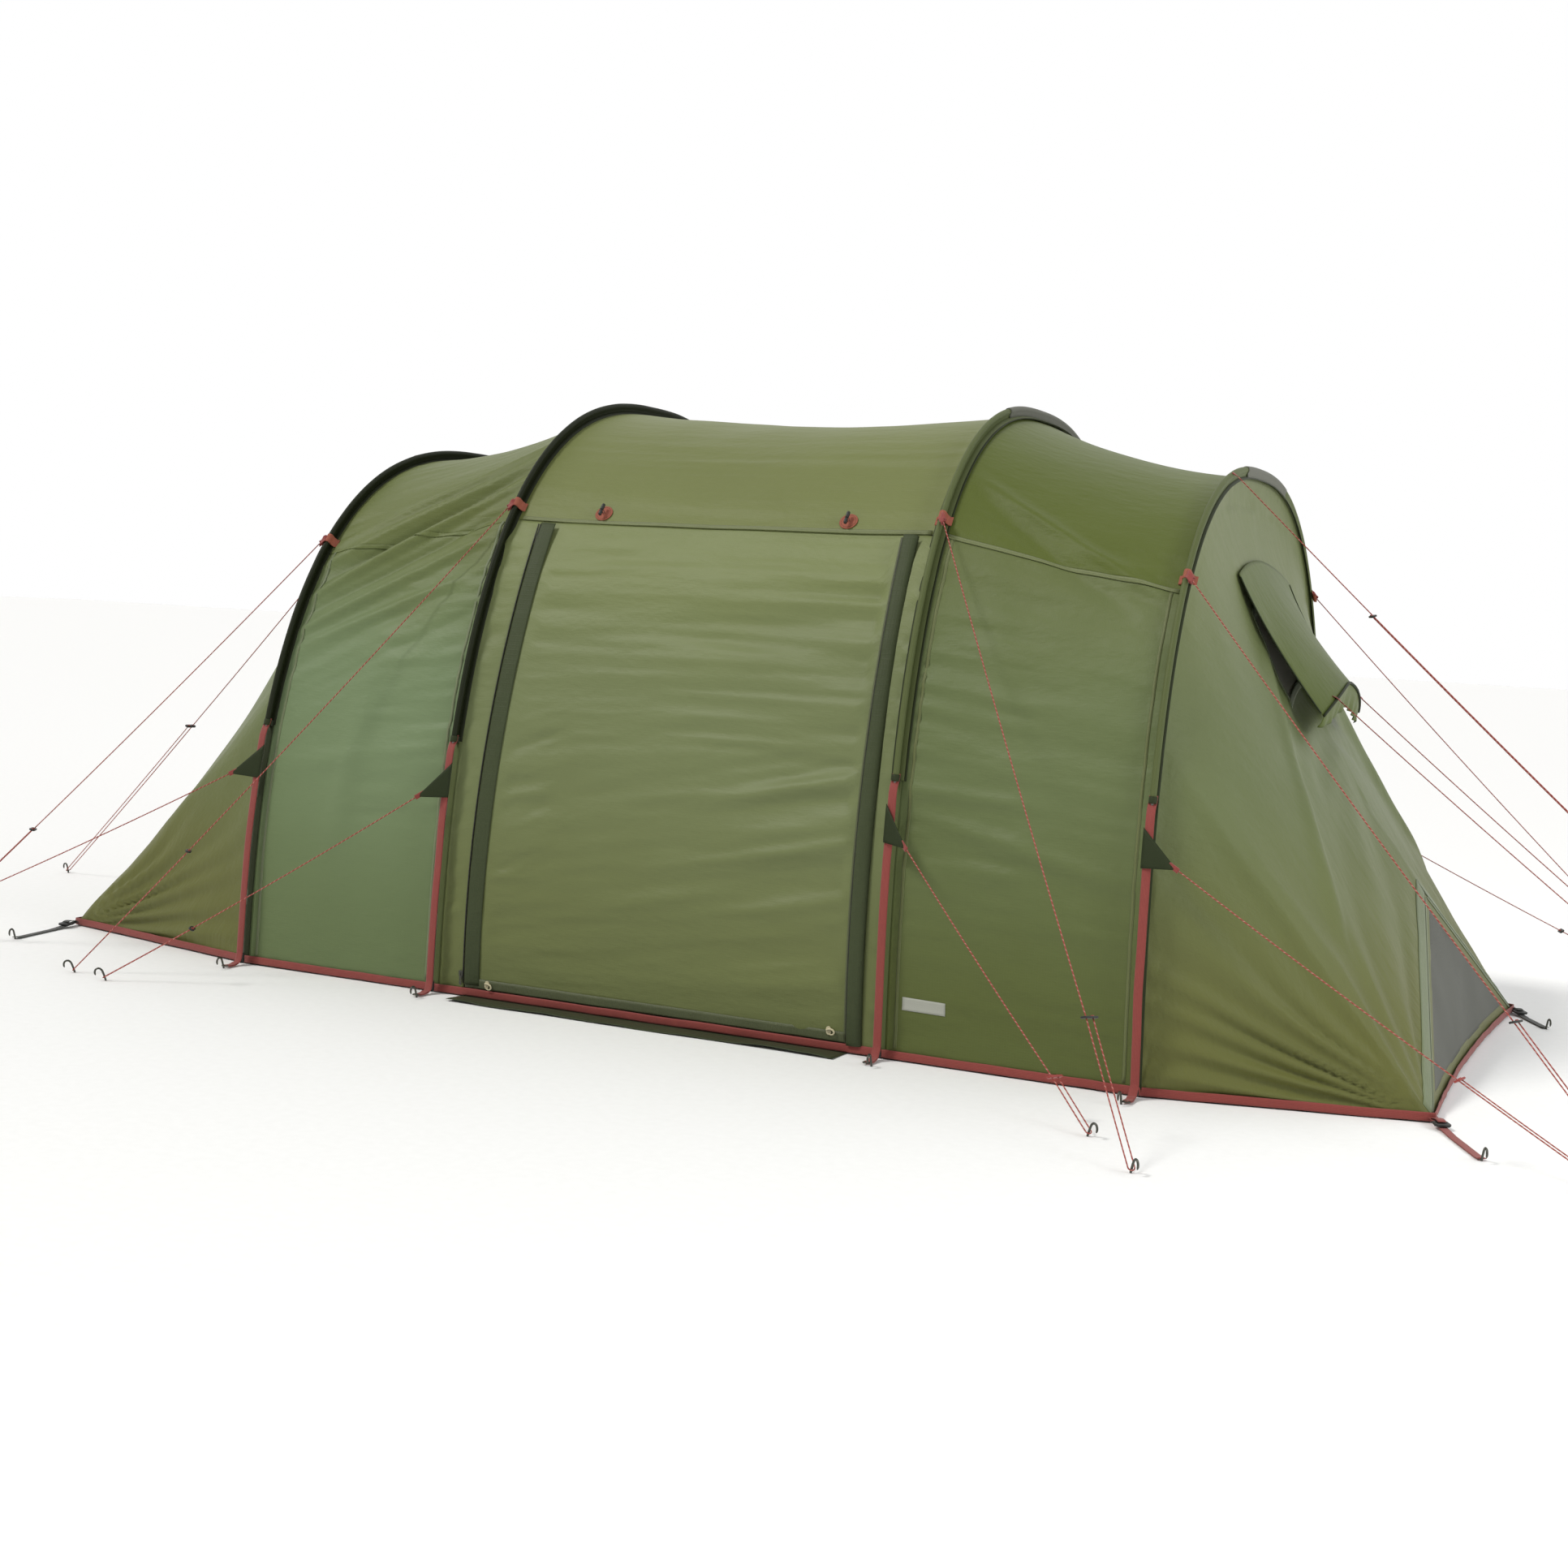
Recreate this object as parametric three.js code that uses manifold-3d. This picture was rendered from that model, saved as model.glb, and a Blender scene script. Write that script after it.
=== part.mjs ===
// A four-arch tunnel tent with a fly over two hung sleeping cabins, in millimetres.
// +X runs along the tunnel to the end with the hooded vent, -Y faces the door side and +Z is up.
// The origin is on the ground at the middle of the footprint.
import * as THREE from "three";
import Module from "manifold-3d";

const wasm = await Module();
wasm.setup();

// ---------- driving dimensions ----------
const footprintLength = 3980;
const tunnelHalfWidth = 1025;
const innerArchHeight = 1650;
const outerArchHeight = 1500;
const archPower = 2.58;
const archMiddleX = 80;
const innerArchOffset = 645;
const outerArchOffset = 1280;
const innerArchLean = 31;
const outerArchLean = 43;
const endCornerHalfSpacing = 825;

const poleRadius = 4.75;
const poleFootHeight = 6;
const poleClearance = 1.05;
const sleeveHalfWidth = 7;
const sleeveShoulder = 6;
const sleeveCrownRise = 1.4;
const sleeveRootHalfWidth = 4;
const sleeveFoot = 18;
const sleeveThickness = 1.2;
const sleeveEndHeight = 675;
const sleeveSeamGap = 4;
const flyInset = sleeveFoot + sleeveSeamGap;
const fabricThickness = 1.5;
const seamGap = 4;
const hemHeight = 14;
const roofSag = 30;
const endSag = 100;
const endSagSkew = 0.65;
const roofSeamAngle = THREE.MathUtils.degToRad(46.5);

const noseShare = 0.735;
const noseHeight = 421;
const cornerAngle = THREE.MathUtils.degToRad(27.5);
const endHemBow = 25;

const zipOffset = 90;
const zipGap = 3;
const doorBottomHeight = 34;
const doorTopGap = 3;
const sliderWidth = 12;
const sliderLength = 18;
const sliderThickness = 4;
const sliderStandoff = 2.2;
const sliderNeck = 3;
const pullTaper = 1;
const pullLength = 26;
const toggleRadius = 4;
const toggleLength = 38;
const toggleFromZip = 172;
const toggleAboveSeam = 55;
const toggleStandoff = 8;

const hoodHalfAngle = THREE.MathUtils.degToRad(15);
const hoodTop = 0.17;
const hoodBottom = 0.5;
const hoodLift = 105;
const hoodBase = 7;
const hoodSideDrop = 0.45;
const hoodTabReach = 5;
const ventMargin = THREE.MathUtils.degToRad(3);
const ventTop = 0.27;
const ventBottom = 0.46;

const strapWidth = 22;
const strapThickness = 1.6;
const strapInset = 10;
const strapTopHeight = 640;
const pegLoopReach = 65;
const strapLowestPoint = 30;
const strapTurnHeight = 10;
const strapTurnReach = 12;

const sheetThickness = 2;
const sillReach = 60;
const cabinWallSetback = 30;
const cabinClearance = 70;
const cabinEndSlack = 30;
const cabinShoulderSetback = 130;
const cabinDoorWidth = 540;
const cabinDoorHeight = 1020;
const cabinDoorSill = 60;
const cabinDoorGap = 3;
const cabinDoorShift = 120;

const guyDiameter = 3;

// ---------- colours ----------
const finish = (color, roughness, metalness = 0) => ({ color, roughness, metalness });
const flyGreen = finish(0x727c52, 0.62);
const flyShade = finish(0x6b7a58, 0.64);
const sleeveDark = finish(0x23290f, 0.7);
const sleeveOlive = finish(0x464d2a, 0.68);
const webbingRed = finish(0x9c4438, 0.75);
const cordRed = finish(0xa8463c, 0.8);
const poleGrey = finish(0xb4b2a6, 0.35, 0.55);
const meshGrey = finish(0x66685f, 0.85);
const cabinCream = finish(0xc9c3ae, 0.8);
const floorDark = finish(0x30352a, 0.7);
const plasticBlack = finish(0x22231f, 0.5);

// ---------- arches ----------
// Each arch is a superellipse from ground to ground in a plane that leans towards the middle.
const makeArch = (side, offset, height, lean) => ({
  x: archMiddleX + side * offset,
  height,
  lean: -side * lean,
});
const arches = [
  makeArch(-1, outerArchOffset, outerArchHeight, outerArchLean),
  makeArch(-1, innerArchOffset, innerArchHeight, innerArchLean),
  makeArch(1, innerArchOffset, innerArchHeight, innerArchLean),
  makeArch(1, outerArchOffset, outerArchHeight, outerArchLean),
];
const archNames = ["1", "2", "3", "4"];

// The pole's centreline, or the curve that lies inset from it towards the inside of the tunnel.
function archPoint(arch, angle, inset = 0, shiftX = 0) {
  const across = Math.cos(angle);
  const up = Math.max(Math.sin(angle), 0);
  const reach = Math.abs(across) ** (2 / archPower);
  const rise = up ** (2 / archPower);
  const normal = archNormal(arch, angle);
  const y = -Math.sign(across) * tunnelHalfWidth * reach - normal.y * inset;
  const z = arch.height * rise - normal.z * inset;
  return new THREE.Vector3(arch.x + shiftX + (arch.lean * z) / arch.height, y, z);
}

// The outward normal of the arch in its own plane.
function archNormal(arch, angle) {
  const across = Math.cos(angle);
  const reach = Math.abs(across) ** (2 / archPower);
  const rise = Math.max(Math.sin(angle), 0) ** (2 / archPower);
  const y = (-Math.sign(across) * reach ** (archPower - 1)) / tunnelHalfWidth;
  const z = rise ** (archPower - 1) / arch.height;
  return new THREE.Vector3(0, y, z).normalize();
}

// The angle at which the arch is at a height, on the door side.
const angleAtHeight = (arch, height) => Math.asin((height / arch.height) ** (archPower / 2));

const lerp = (a, b, share) => a.clone().lerp(b, share);

function evenSteps(from, to, count) {
  return Array.from({ length: count + 1 }, (_, i) => from + ((to - from) * i) / count);
}

// ---------- solids ----------
// A closed body from shared points and triangles, turned so that its faces point out.
function closedBody(points, triangles) {
  let volume = 0;
  for (const [a, b, c] of triangles) {
    volume += points[a].dot(points[b].clone().cross(points[c]));
  }
  const turned = volume < 0 ? triangles.map(([a, b, c]) => [a, c, b]) : triangles;
  const geometry = new THREE.BufferGeometry();
  const flat = points.flatMap((p) => [p.x, p.y, p.z]);
  geometry.setAttribute("position", new THREE.Float32BufferAttribute(flat, 3));
  geometry.setIndex(turned.flat());
  geometry.computeVertexNormals();
  return geometry;
}

// A sheet of fabric: a grid of points given an even thickness on the side away from its normal.
// keep says which cells are cloth; round joins the last column to the first, as in a tube.
function sheetSolid(grid, thickness, { keep = () => true, round = false, flip = 1 } = {}) {
  const rows = grid.length;
  const columns = grid[0].length;
  const cells = round ? columns : columns - 1;
  const wrap = (j) => (round ? (j + columns) % columns : Math.min(Math.max(j, 0), columns - 1));
  const clampRow = (i) => Math.min(Math.max(i, 0), rows - 1);
  const normalAt = (i, j) => {
    const along = grid[clampRow(i + 1)][j].clone().sub(grid[clampRow(i - 1)][j]);
    const across = grid[i][wrap(j + 1)].clone().sub(grid[i][wrap(j - 1)]);
    return across.cross(along).normalize().multiplyScalar(flip);
  };
  const isCloth = (i, j) => {
    if (i < 0 || i >= rows - 1) {
      return false;
    }
    if (!round && (j < 0 || j >= cells)) {
      return false;
    }
    return keep(i, wrap(j));
  };
  const points = [];
  const places = new Map();
  const place = (i, j, layer) => {
    const key = `${i}/${wrap(j)}/${layer}`;
    if (!places.has(key)) {
      const column = wrap(j);
      const shift = normalAt(i, column).multiplyScalar(-thickness * layer);
      places.set(key, points.push(grid[i][column].clone().add(shift)) - 1);
    }
    return places.get(key);
  };
  const triangles = [];
  const quad = (a, b, c, d) => triangles.push([a, b, c], [a, c, d]);
  for (let i = 0; i < rows - 1; i++) {
    for (let j = 0; j < cells; j++) {
      if (!isCloth(i, j)) {
        continue;
      }
      const outer = [place(i, j, 0), place(i, j + 1, 0), place(i + 1, j + 1, 0), place(i + 1, j, 0)];
      const inner = [place(i, j, 1), place(i, j + 1, 1), place(i + 1, j + 1, 1), place(i + 1, j, 1)];
      quad(...outer);
      quad(inner[0], inner[3], inner[2], inner[1]);
      const neighbours = [isCloth(i - 1, j), isCloth(i, j + 1), isCloth(i + 1, j), isCloth(i, j - 1)];
      neighbours.forEach((joined, k) => {
        if (!joined) {
          const next = (k + 1) % 4;
          quad(outer[next], outer[k], inner[k], inner[next]);
        }
      });
    }
  }
  return closedBody(points, triangles);
}

// A solid through a row of outlines that have the same number of points, capped at both ends.
function loftSolid(outlines) {
  const count = outlines[0].length;
  const points = outlines.flat();
  const triangles = [];
  for (let i = 0; i < outlines.length - 1; i++) {
    for (let j = 0; j < count; j++) {
      const next = (j + 1) % count;
      const [a, b] = [i * count + j, i * count + next];
      const [c, d] = [(i + 1) * count + next, (i + 1) * count + j];
      triangles.push([a, b, c], [a, c, d]);
    }
  }
  const last = (outlines.length - 1) * count;
  for (let j = 1; j < count - 1; j++) {
    triangles.push([0, j + 1, j], [last, last + j, last + j + 1]);
  }
  return closedBody(points, triangles);
}

// The cross-section of a pole or sleeve at one angle: places across the tunnel's length and outward.
function archSection(arch, angle, outline) {
  return outline.map(([alongX, outward]) => archPoint(arch, angle, -outward, alongX));
}

function circleOutline(radius, sides) {
  return Array.from({ length: sides }, (_, i) => {
    const turn = ((i + 0.5) * 2 * Math.PI) / sides;
    return [radius * Math.cos(turn), radius * Math.sin(turn)];
  });
}

const toManifold = (geometry) =>
  new wasm.Manifold(
    new wasm.Mesh({
      numProp: 3,
      vertProperties: new Float32Array(geometry.attributes.position.array),
      triVerts: new Uint32Array(geometry.index.array),
    }),
  );

function fromManifold(solid) {
  const mesh = solid.getMesh();
  const geometry = new THREE.BufferGeometry();
  geometry.setAttribute("position", new THREE.BufferAttribute(mesh.vertProperties, 3));
  geometry.setIndex(new THREE.BufferAttribute(mesh.triVerts, 1));
  geometry.computeVertexNormals();
  return geometry;
}

const group = new THREE.Group();
function addPart(name, geometry, { color, roughness, metalness }) {
  const mesh = new THREE.Mesh(
    geometry,
    new THREE.MeshStandardMaterial({ color, roughness, metalness }),
  );
  mesh.name = name;
  group.add(mesh);
  return mesh;
}

// ---------- poles and sleeves ----------
const sleeveSteps = 20;
const legSteps = 2;
const sleeveOutline = [
  [sleeveHalfWidth, 0],
  [sleeveHalfWidth - 2, sleeveShoulder],
  [0, poleRadius + poleClearance + sleeveThickness + sleeveCrownRise],
  [2 - sleeveHalfWidth, sleeveShoulder],
  [-sleeveHalfWidth, 0],
  [-sleeveRootHalfWidth, -sleeveFoot],
  [sleeveRootHalfWidth, -sleeveFoot],
];
function archAngles(arch) {
  const foot = angleAtHeight(arch, poleFootHeight);
  const sleeve = angleAtHeight(arch, sleeveEndHeight);
  const leg = evenSteps(foot, sleeve, legSteps);
  const cover = evenSteps(sleeve, Math.PI - sleeve, sleeveSteps);
  const farLeg = leg.map((angle) => Math.PI - angle).reverse();
  return { cover, whole: [...leg.slice(0, -1), ...cover, ...farLeg.slice(1)] };
}
const sleeveFinishes = [sleeveDark, sleeveDark, sleeveOlive, sleeveOlive];
arches.forEach((arch, i) => {
  const { cover, whole } = archAngles(arch);
  const poleOutline = circleOutline(poleRadius, 6);
  const pole = loftSolid(whole.map((angle) => archSection(arch, angle, poleOutline)));
  addPart(`pole_${archNames[i]}`, pole, poleGrey);
  const rings = cover.map((angle) => archSection(arch, angle, sleeveOutline));
  addPart(
    `sleeve_${archNames[i]}`,
    sheetSolid(rings, sleeveThickness, { round: true, flip: -1 }),
    sleeveFinishes[i],
  );
});

// ---------- fly between the arches ----------
// The cloth sags between two arches, most along the roof and not at all at the hem.
function bayPoint(before, after, share, angle) {
  const start = archPoint(before, angle, flyInset, seamGap / 2);
  const end = archPoint(after, angle, flyInset, -seamGap / 2);
  const sag = roofSag * 4 * share * (1 - share) * Math.sin(angle) ** 4;
  return lerp(start, end, share).addScaledVector(archNormal(before, angle), -sag);
}
const bayNames = ["left", "mid", "right"];
const seamGapAngle = seamGap / 2 / innerArchHeight;
const hemAngle = angleAtHeight(arches[1], hemHeight);
function bayPanel(k, from, to, angleSteps, shareSteps) {
  const grid = evenSteps(from, to, angleSteps).map((angle) =>
    evenSteps(0, 1, shareSteps).map((share) => bayPoint(arches[k], arches[k + 1], share, angle)),
  );
  return sheetSolid(grid, fabricThickness);
}
bayNames.forEach((bay, k) => {
  const shareSteps = k === 1 ? 6 : 4;
  const wallTop = roofSeamAngle - seamGapAngle;
  const roofFrom = roofSeamAngle + seamGapAngle;
  if (k !== 1) {
    addPart(`${bay}_wall_near`, bayPanel(k, hemAngle, wallTop, 6, shareSteps), flyShade);
  }
  addPart(`${bay}_roof`, bayPanel(k, roofFrom, Math.PI - roofFrom, 12, shareSteps), flyGreen);
  const farWall = bayPanel(k, Math.PI - wallTop, Math.PI - hemAngle, 6, shareSteps);
  addPart(`${bay}_wall_far`, farWall, flyShade);
});

// ---------- tent ends ----------
// The cloth runs from the outer arch to the side hem, and to the sloping edges that rise from the
// two ground corners to the nose in the middle of the end.
function endFrame(side) {
  const arch = side < 0 ? arches[0] : arches[3];
  const cornerX = (side * footprintLength) / 2;
  const foot = archPoint(arch, 0, flyInset).setZ(hemHeight);
  const corner = new THREE.Vector3(cornerX, -endCornerHalfSpacing, hemHeight);
  const nose = new THREE.Vector3(arch.x + (cornerX - arch.x) * noseShare, 0, noseHeight);
  return { side, arch, foot, corner, nose };
}
const mirrorY = (p) => new THREE.Vector3(p.x, -p.y, p.z);
function endPoint(frame, angle, share) {
  const near = Math.min(angle, Math.PI - angle);
  const start = archPoint(frame.arch, near, flyInset, (frame.side * seamGap) / 2);
  const edge =
    near < cornerAngle
      ? lerp(frame.foot, frame.corner, near / cornerAngle)
      : lerp(frame.corner, frame.nose, (near - cornerAngle) / (Math.PI / 2 - cornerAngle));
  const outward = new THREE.Vector3(
    frame.side * (0.45 + 0.45 * Math.sin(near)),
    -Math.cos(near),
    0.4,
  ).normalize();
  const sag = endSag * Math.sin(near) ** 2 * Math.sin(Math.PI * share ** endSagSkew);
  const p = lerp(start, edge, share).addScaledVector(outward, -sag);
  return angle > Math.PI / 2 ? mirrorY(p) : p;
}
const firstEndAngle = THREE.MathUtils.degToRad(0.4);
const ventAngle = hoodHalfAngle - ventMargin;
const halfEndAngles = [
  ...evenSteps(firstEndAngle, cornerAngle, 3),
  ...evenSteps(cornerAngle, Math.PI / 2 - hoodHalfAngle, 4).slice(1),
  Math.PI / 2 - ventAngle,
  Math.PI / 2 - ventAngle / 2,
];
const endAngles = [
  ...halfEndAngles,
  Math.PI / 2,
  ...halfEndAngles.map((angle) => Math.PI - angle).reverse(),
];
const endShares = [0, 0.09, 0.18, ventTop, 0.365, ventBottom, 0.6, 0.74, 0.87, 0.994];
const endGrid = (frame) =>
  endAngles.map((angle) => endShares.map((share) => endPoint(frame, angle, share)));
const inVent = (i, j) => {
  const angle = (endAngles[i] + endAngles[i + 1]) / 2;
  const share = (endShares[j] + endShares[j + 1]) / 2;
  const across = Math.abs(angle - Math.PI / 2) < ventAngle;
  return across && share > ventTop && share < ventBottom;
};
const leftEnd = endFrame(-1);
const rightEnd = endFrame(1);
addPart("left_end", sheetSolid(endGrid(leftEnd), fabricThickness, { flip: -1 }), flyShade);
addPart(
  "right_end",
  sheetSolid(endGrid(rightEnd), fabricThickness, { keep: (i, j) => !inVent(i, j) }),
  flyShade,
);

// The upright triangle between the two ground corners and the nose.
function endTriangle(frame) {
  const grid = evenSteps(0, 0.94, 5).map((rise) =>
    evenSteps(-1, 1, 8).map((across) => {
      const halfWidth = (endCornerHalfSpacing - seamGap * 4) * (1 - rise);
      const y = across * halfWidth;
      const bow = endHemBow * (1 - across ** 2) * (1 - rise);
      const base = frame.corner.x - frame.side * bow;
      const x = base + (frame.nose.x - base) * rise;
      const z = hemHeight + (noseHeight - hemHeight) * rise;
      return new THREE.Vector3(x - frame.side * seamGap, y, z);
    }),
  );
  return sheetSolid(grid, fabricThickness, { flip: frame.side });
}
addPart("left_end_panel", endTriangle(leftEnd), flyShade);
addPart("right_end_mesh", endTriangle(rightEnd), meshGrey);

// The vent's net fills the opening in the end, and the hood stands over it.
const ventPatchGap = 0.004;
const ventAngles = evenSteps(-1, 1, 4).map(
  (across) => Math.PI / 2 + across * (ventAngle - ventPatchGap),
);
const ventShares = evenSteps(ventTop + ventPatchGap, ventBottom - ventPatchGap, 3);
const ventGrid = ventAngles.map((angle) => ventShares.map((share) => endPoint(rightEnd, angle, share)));
addPart("vent_mesh", sheetSolid(ventGrid, fabricThickness), meshGrey);

// The hood leans away from the end, most at its free edge and less towards its sides.
const hoodLean = new THREE.Vector3(0.92, 0, 0.39);
function hoodPoint(across, along) {
  const angle = Math.PI / 2 + across * hoodHalfAngle;
  const share = hoodTop + (hoodBottom - hoodTop) * along;
  const p = endPoint(rightEnd, angle, share);
  const lift = hoodBase + hoodLift * along * (1 - hoodSideDrop * across ** 2);
  return p.addScaledVector(hoodLean, lift);
}
const hoodGrid = evenSteps(-1, 1, 8).map((across) =>
  evenSteps(0, 1, 5).map((along) => hoodPoint(across, along)),
);
addPart("vent_hood", sheetSolid(hoodGrid, fabricThickness), flyGreen);

// ---------- door ----------
// The zips follow a circle in the leaning plane of their arch, so a slider can turn along them.
const seamHeight = archPoint(arches[1], roofSeamAngle, flyInset).z;
const profileY = (height) => archPoint(arches[1], angleAtHeight(arches[1], height), flyInset).y;
const circleThrough = (heights) => {
  const [a, b, c] = heights.map((z) => new THREE.Vector2(profileY(z), z));
  const d = 2 * (a.x * (b.y - c.y) + b.x * (c.y - a.y) + c.x * (a.y - b.y));
  const [sa, sb, sc] = [a.lengthSq(), b.lengthSq(), c.lengthSq()];
  const y = (sa * (b.y - c.y) + sb * (c.y - a.y) + sc * (a.y - b.y)) / d;
  const z = (sa * (c.x - b.x) + sb * (a.x - c.x) + sc * (b.x - a.x)) / d;
  return { y, z, radius: Math.hypot(a.x - y, a.y - z) };
};
const zipCircle = circleThrough([hemHeight, seamHeight / 2, seamHeight]);
const zipY = (height) =>
  zipCircle.y - Math.sqrt(zipCircle.radius ** 2 - (height - zipCircle.z) ** 2);
function zipPoint(arch, offset, height) {
  const x = arch.x + offset + (arch.lean * height) / arch.height;
  return new THREE.Vector3(x, zipY(height), height);
}
function sideStrip(arch, side) {
  const top = seamHeight - doorTopGap;
  const grid = evenSteps(hemHeight, top, 12).map((height) => {
    const angle = angleAtHeight(arch, height);
    const atSleeve = archPoint(arch, angle, flyInset, (side * seamGap) / 2);
    const atZip = zipPoint(arch, side * (zipOffset - zipGap / 2), height);
    return evenSteps(0, 1, 3).map((share) => lerp(atSleeve, atZip, share));
  });
  return sheetSolid(grid, fabricThickness, { flip: side });
}
addPart("door_side_left", sideStrip(arches[1], 1), sleeveOlive);
addPart("door_side_right", sideStrip(arches[2], -1), sleeveOlive);

const doorGrid = evenSteps(doorBottomHeight, seamHeight - doorTopGap, 12).map((height) => {
  const start = zipPoint(arches[1], zipOffset + zipGap / 2, height);
  const end = zipPoint(arches[2], -zipOffset - zipGap / 2, height);
  return evenSteps(0, 1, 6).map((share) => lerp(start, end, share));
});
addPart("door_panel", sheetSolid(doorGrid, fabricThickness), flyGreen);

// A zip slider with its pull, flat on the side strip at the bottom of the zip.
function sliderOutline() {
  const outline = new THREE.Shape();
  const [half, tab] = [sliderWidth / 2, sliderWidth / 4];
  outline.moveTo(-half, 0);
  outline.lineTo(-tab, -sliderNeck);
  outline.lineTo(pullTaper - half, -pullLength);
  outline.lineTo(half - pullTaper, -pullLength);
  outline.lineTo(tab, -sliderNeck);
  outline.lineTo(half, 0);
  outline.lineTo(half, sliderLength);
  outline.lineTo(-half, sliderLength);
  outline.closePath();
  return outline;
}
function addSlider(name, arch, side) {
  const height = doorBottomHeight + pullLength;
  const at = zipPoint(arch, side * (zipOffset - zipGap - sliderWidth / 2), height);
  const outward = new THREE.Vector3(0, at.y - zipCircle.y, at.z - zipCircle.z).normalize();
  const geometry = new THREE.ExtrudeGeometry(sliderOutline(), {
    depth: sliderThickness,
    bevelEnabled: false,
  });
  const mesh = addPart(name, geometry, plasticBlack);
  const up = new THREE.Vector3(1, 0, 0).cross(outward).negate();
  const acrossAxis = up.clone().cross(outward);
  mesh.setRotationFromMatrix(new THREE.Matrix4().makeBasis(acrossAxis, up, outward));
  mesh.position.copy(at.addScaledVector(outward, sliderStandoff));
}
addSlider("zip_slider_left", arches[1], 1);
addSlider("zip_slider_right", arches[2], -1);

// The toggles that hold the rolled door hang on the roof just above the door's top seam.
function addToggle(name, arch, side) {
  const angle = roofSeamAngle + toggleAboveSeam / innerArchHeight;
  const normal = archNormal(arch, angle);
  const at = archPoint(arch, angle, flyInset - toggleStandoff, side * (zipOffset + toggleFromZip));
  const downSlope = new THREE.Vector3(1, 0, 0).cross(normal);
  const geometry = new THREE.CylinderGeometry(toggleRadius, toggleRadius, toggleLength, 8);
  geometry.translate(0, toggleLength / 2, 0);
  const mesh = addPart(name, geometry, plasticBlack);
  mesh.quaternion.setFromUnitVectors(new THREE.Vector3(0, 1, 0), downSlope);
  mesh.position.copy(at);
}
addToggle("door_toggle_left", arches[1], 1);
addToggle("door_toggle_right", arches[2], -1);

// ---------- foot straps ----------
// Each runs from the end of a sleeve down inside the pole, turns under the pole's foot and ends in
// the peg loop on the ground.
function footStrap(arch, side) {
  const top = angleAtHeight(arch, strapTopHeight);
  const angles = evenSteps(top, angleAtHeight(arch, strapLowestPoint), 4);
  const groundTop = strapThickness;
  const turnY = tunnelHalfWidth - strapInset;
  const line = [
    ...angles.map((angle) => archPoint(arch, angle, strapInset)),
    new THREE.Vector3(arch.x, -turnY, strapTurnHeight),
    new THREE.Vector3(arch.x, -turnY - strapTurnReach / 3, groundTop + strapThickness / 3),
    new THREE.Vector3(arch.x, -turnY - strapTurnReach, groundTop),
    new THREE.Vector3(arch.x, -tunnelHalfWidth - pegLoopReach, groundTop),
  ];
  const grid = line.map((p) =>
    [-0.5, 0.5].map((share) => new THREE.Vector3(p.x + share * strapWidth, side * p.y, p.z)),
  );
  return sheetSolid(grid, strapThickness, { flip: -side });
}
arches.forEach((arch, i) => {
  addPart(`foot_strap_${archNames[i]}_near`, footStrap(arch, 1), webbingRed);
  addPart(`foot_strap_${archNames[i]}_far`, footStrap(arch, -1), webbingRed);
});

// ---------- ground sheet ----------
// The floor between the cabins, with a sill that reaches out under the door.
const sheetOutline = new THREE.Shape();
const sheetHalfDepth = tunnelHalfWidth - 3 * flyInset;
const sheetFrom = arches[1].x + seamGap;
const sheetTo = arches[2].x - seamGap;
const sillFrom = arches[1].x + zipOffset;
const sillTo = arches[2].x - zipOffset;
const sillY = -tunnelHalfWidth - sillReach;
sheetOutline.moveTo(sheetFrom, sheetHalfDepth);
sheetOutline.lineTo(sheetFrom, -sheetHalfDepth);
sheetOutline.lineTo(sillFrom, -sheetHalfDepth);
sheetOutline.lineTo(sillFrom, sillY);
sheetOutline.lineTo(sillTo, sillY);
sheetOutline.lineTo(sillTo, -sheetHalfDepth);
sheetOutline.lineTo(sheetTo, -sheetHalfDepth);
sheetOutline.lineTo(sheetTo, sheetHalfDepth);
sheetOutline.closePath();
addPart(
  "groundsheet",
  new THREE.ExtrudeGeometry(sheetOutline, { depth: sheetThickness, bevelEnabled: false }),
  floorDark,
);

// ---------- sleeping cabins ----------
// Each cabin is a thin bag that follows the fly with a clearance and tapers under the sloping end.
// A foot station lies at a share of the way from the outer arch to the ground corners, and is as
// wide as a share of the cabin's full width and as high as a share of the outer arch.
const cabinFoot = [
  { along: 0.095, wide: 0.954, high: 0.553, power: 1.8 },
  { along: 0.317, wide: 0.857, high: 0.387, power: 1.5 },
  { along: 0.587, wide: 0.772, high: 0.193, power: 1.3 },
];
const cabinWallPower = 2.5;
const cabinShoulderPower = 2.4;
function cabinStations(side) {
  const [inner, outer] = side < 0 ? [arches[1], arches[0]] : [arches[2], arches[3]];
  const endLength = footprintLength / 2 - side * outer.x;
  const fullWidth = tunnelHalfWidth - flyInset - cabinClearance;
  const tall = innerArchHeight - flyInset - roofSag - cabinClearance;
  const low = outerArchHeight - flyInset - cabinClearance - cabinEndSlack;
  const wallX = inner.x + side * cabinWallSetback;
  const shoulderX = outer.x - side * cabinShoulderSetback;
  return [
    { x: wallX, width: fullWidth, height: tall, power: cabinWallPower },
    { x: shoulderX, width: fullWidth, height: low, power: cabinShoulderPower },
    ...cabinFoot.map(({ along, wide, high, power }) => ({
      x: outer.x + side * along * endLength,
      width: wide * fullWidth,
      height: high * outerArchHeight,
      power,
    })),
  ];
}
function cabinRing({ x, width, height, power }, inset, floor) {
  return evenSteps(0, Math.PI, 12).map((angle) => {
    const reach = Math.abs(Math.cos(angle)) ** (2 / power);
    const rise = Math.max(Math.sin(angle), 0) ** (2 / power);
    const y = -Math.sign(Math.cos(angle)) * (width - inset) * reach;
    return new THREE.Vector3(x, y, floor + (height - inset - floor) * rise);
  });
}
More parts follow.
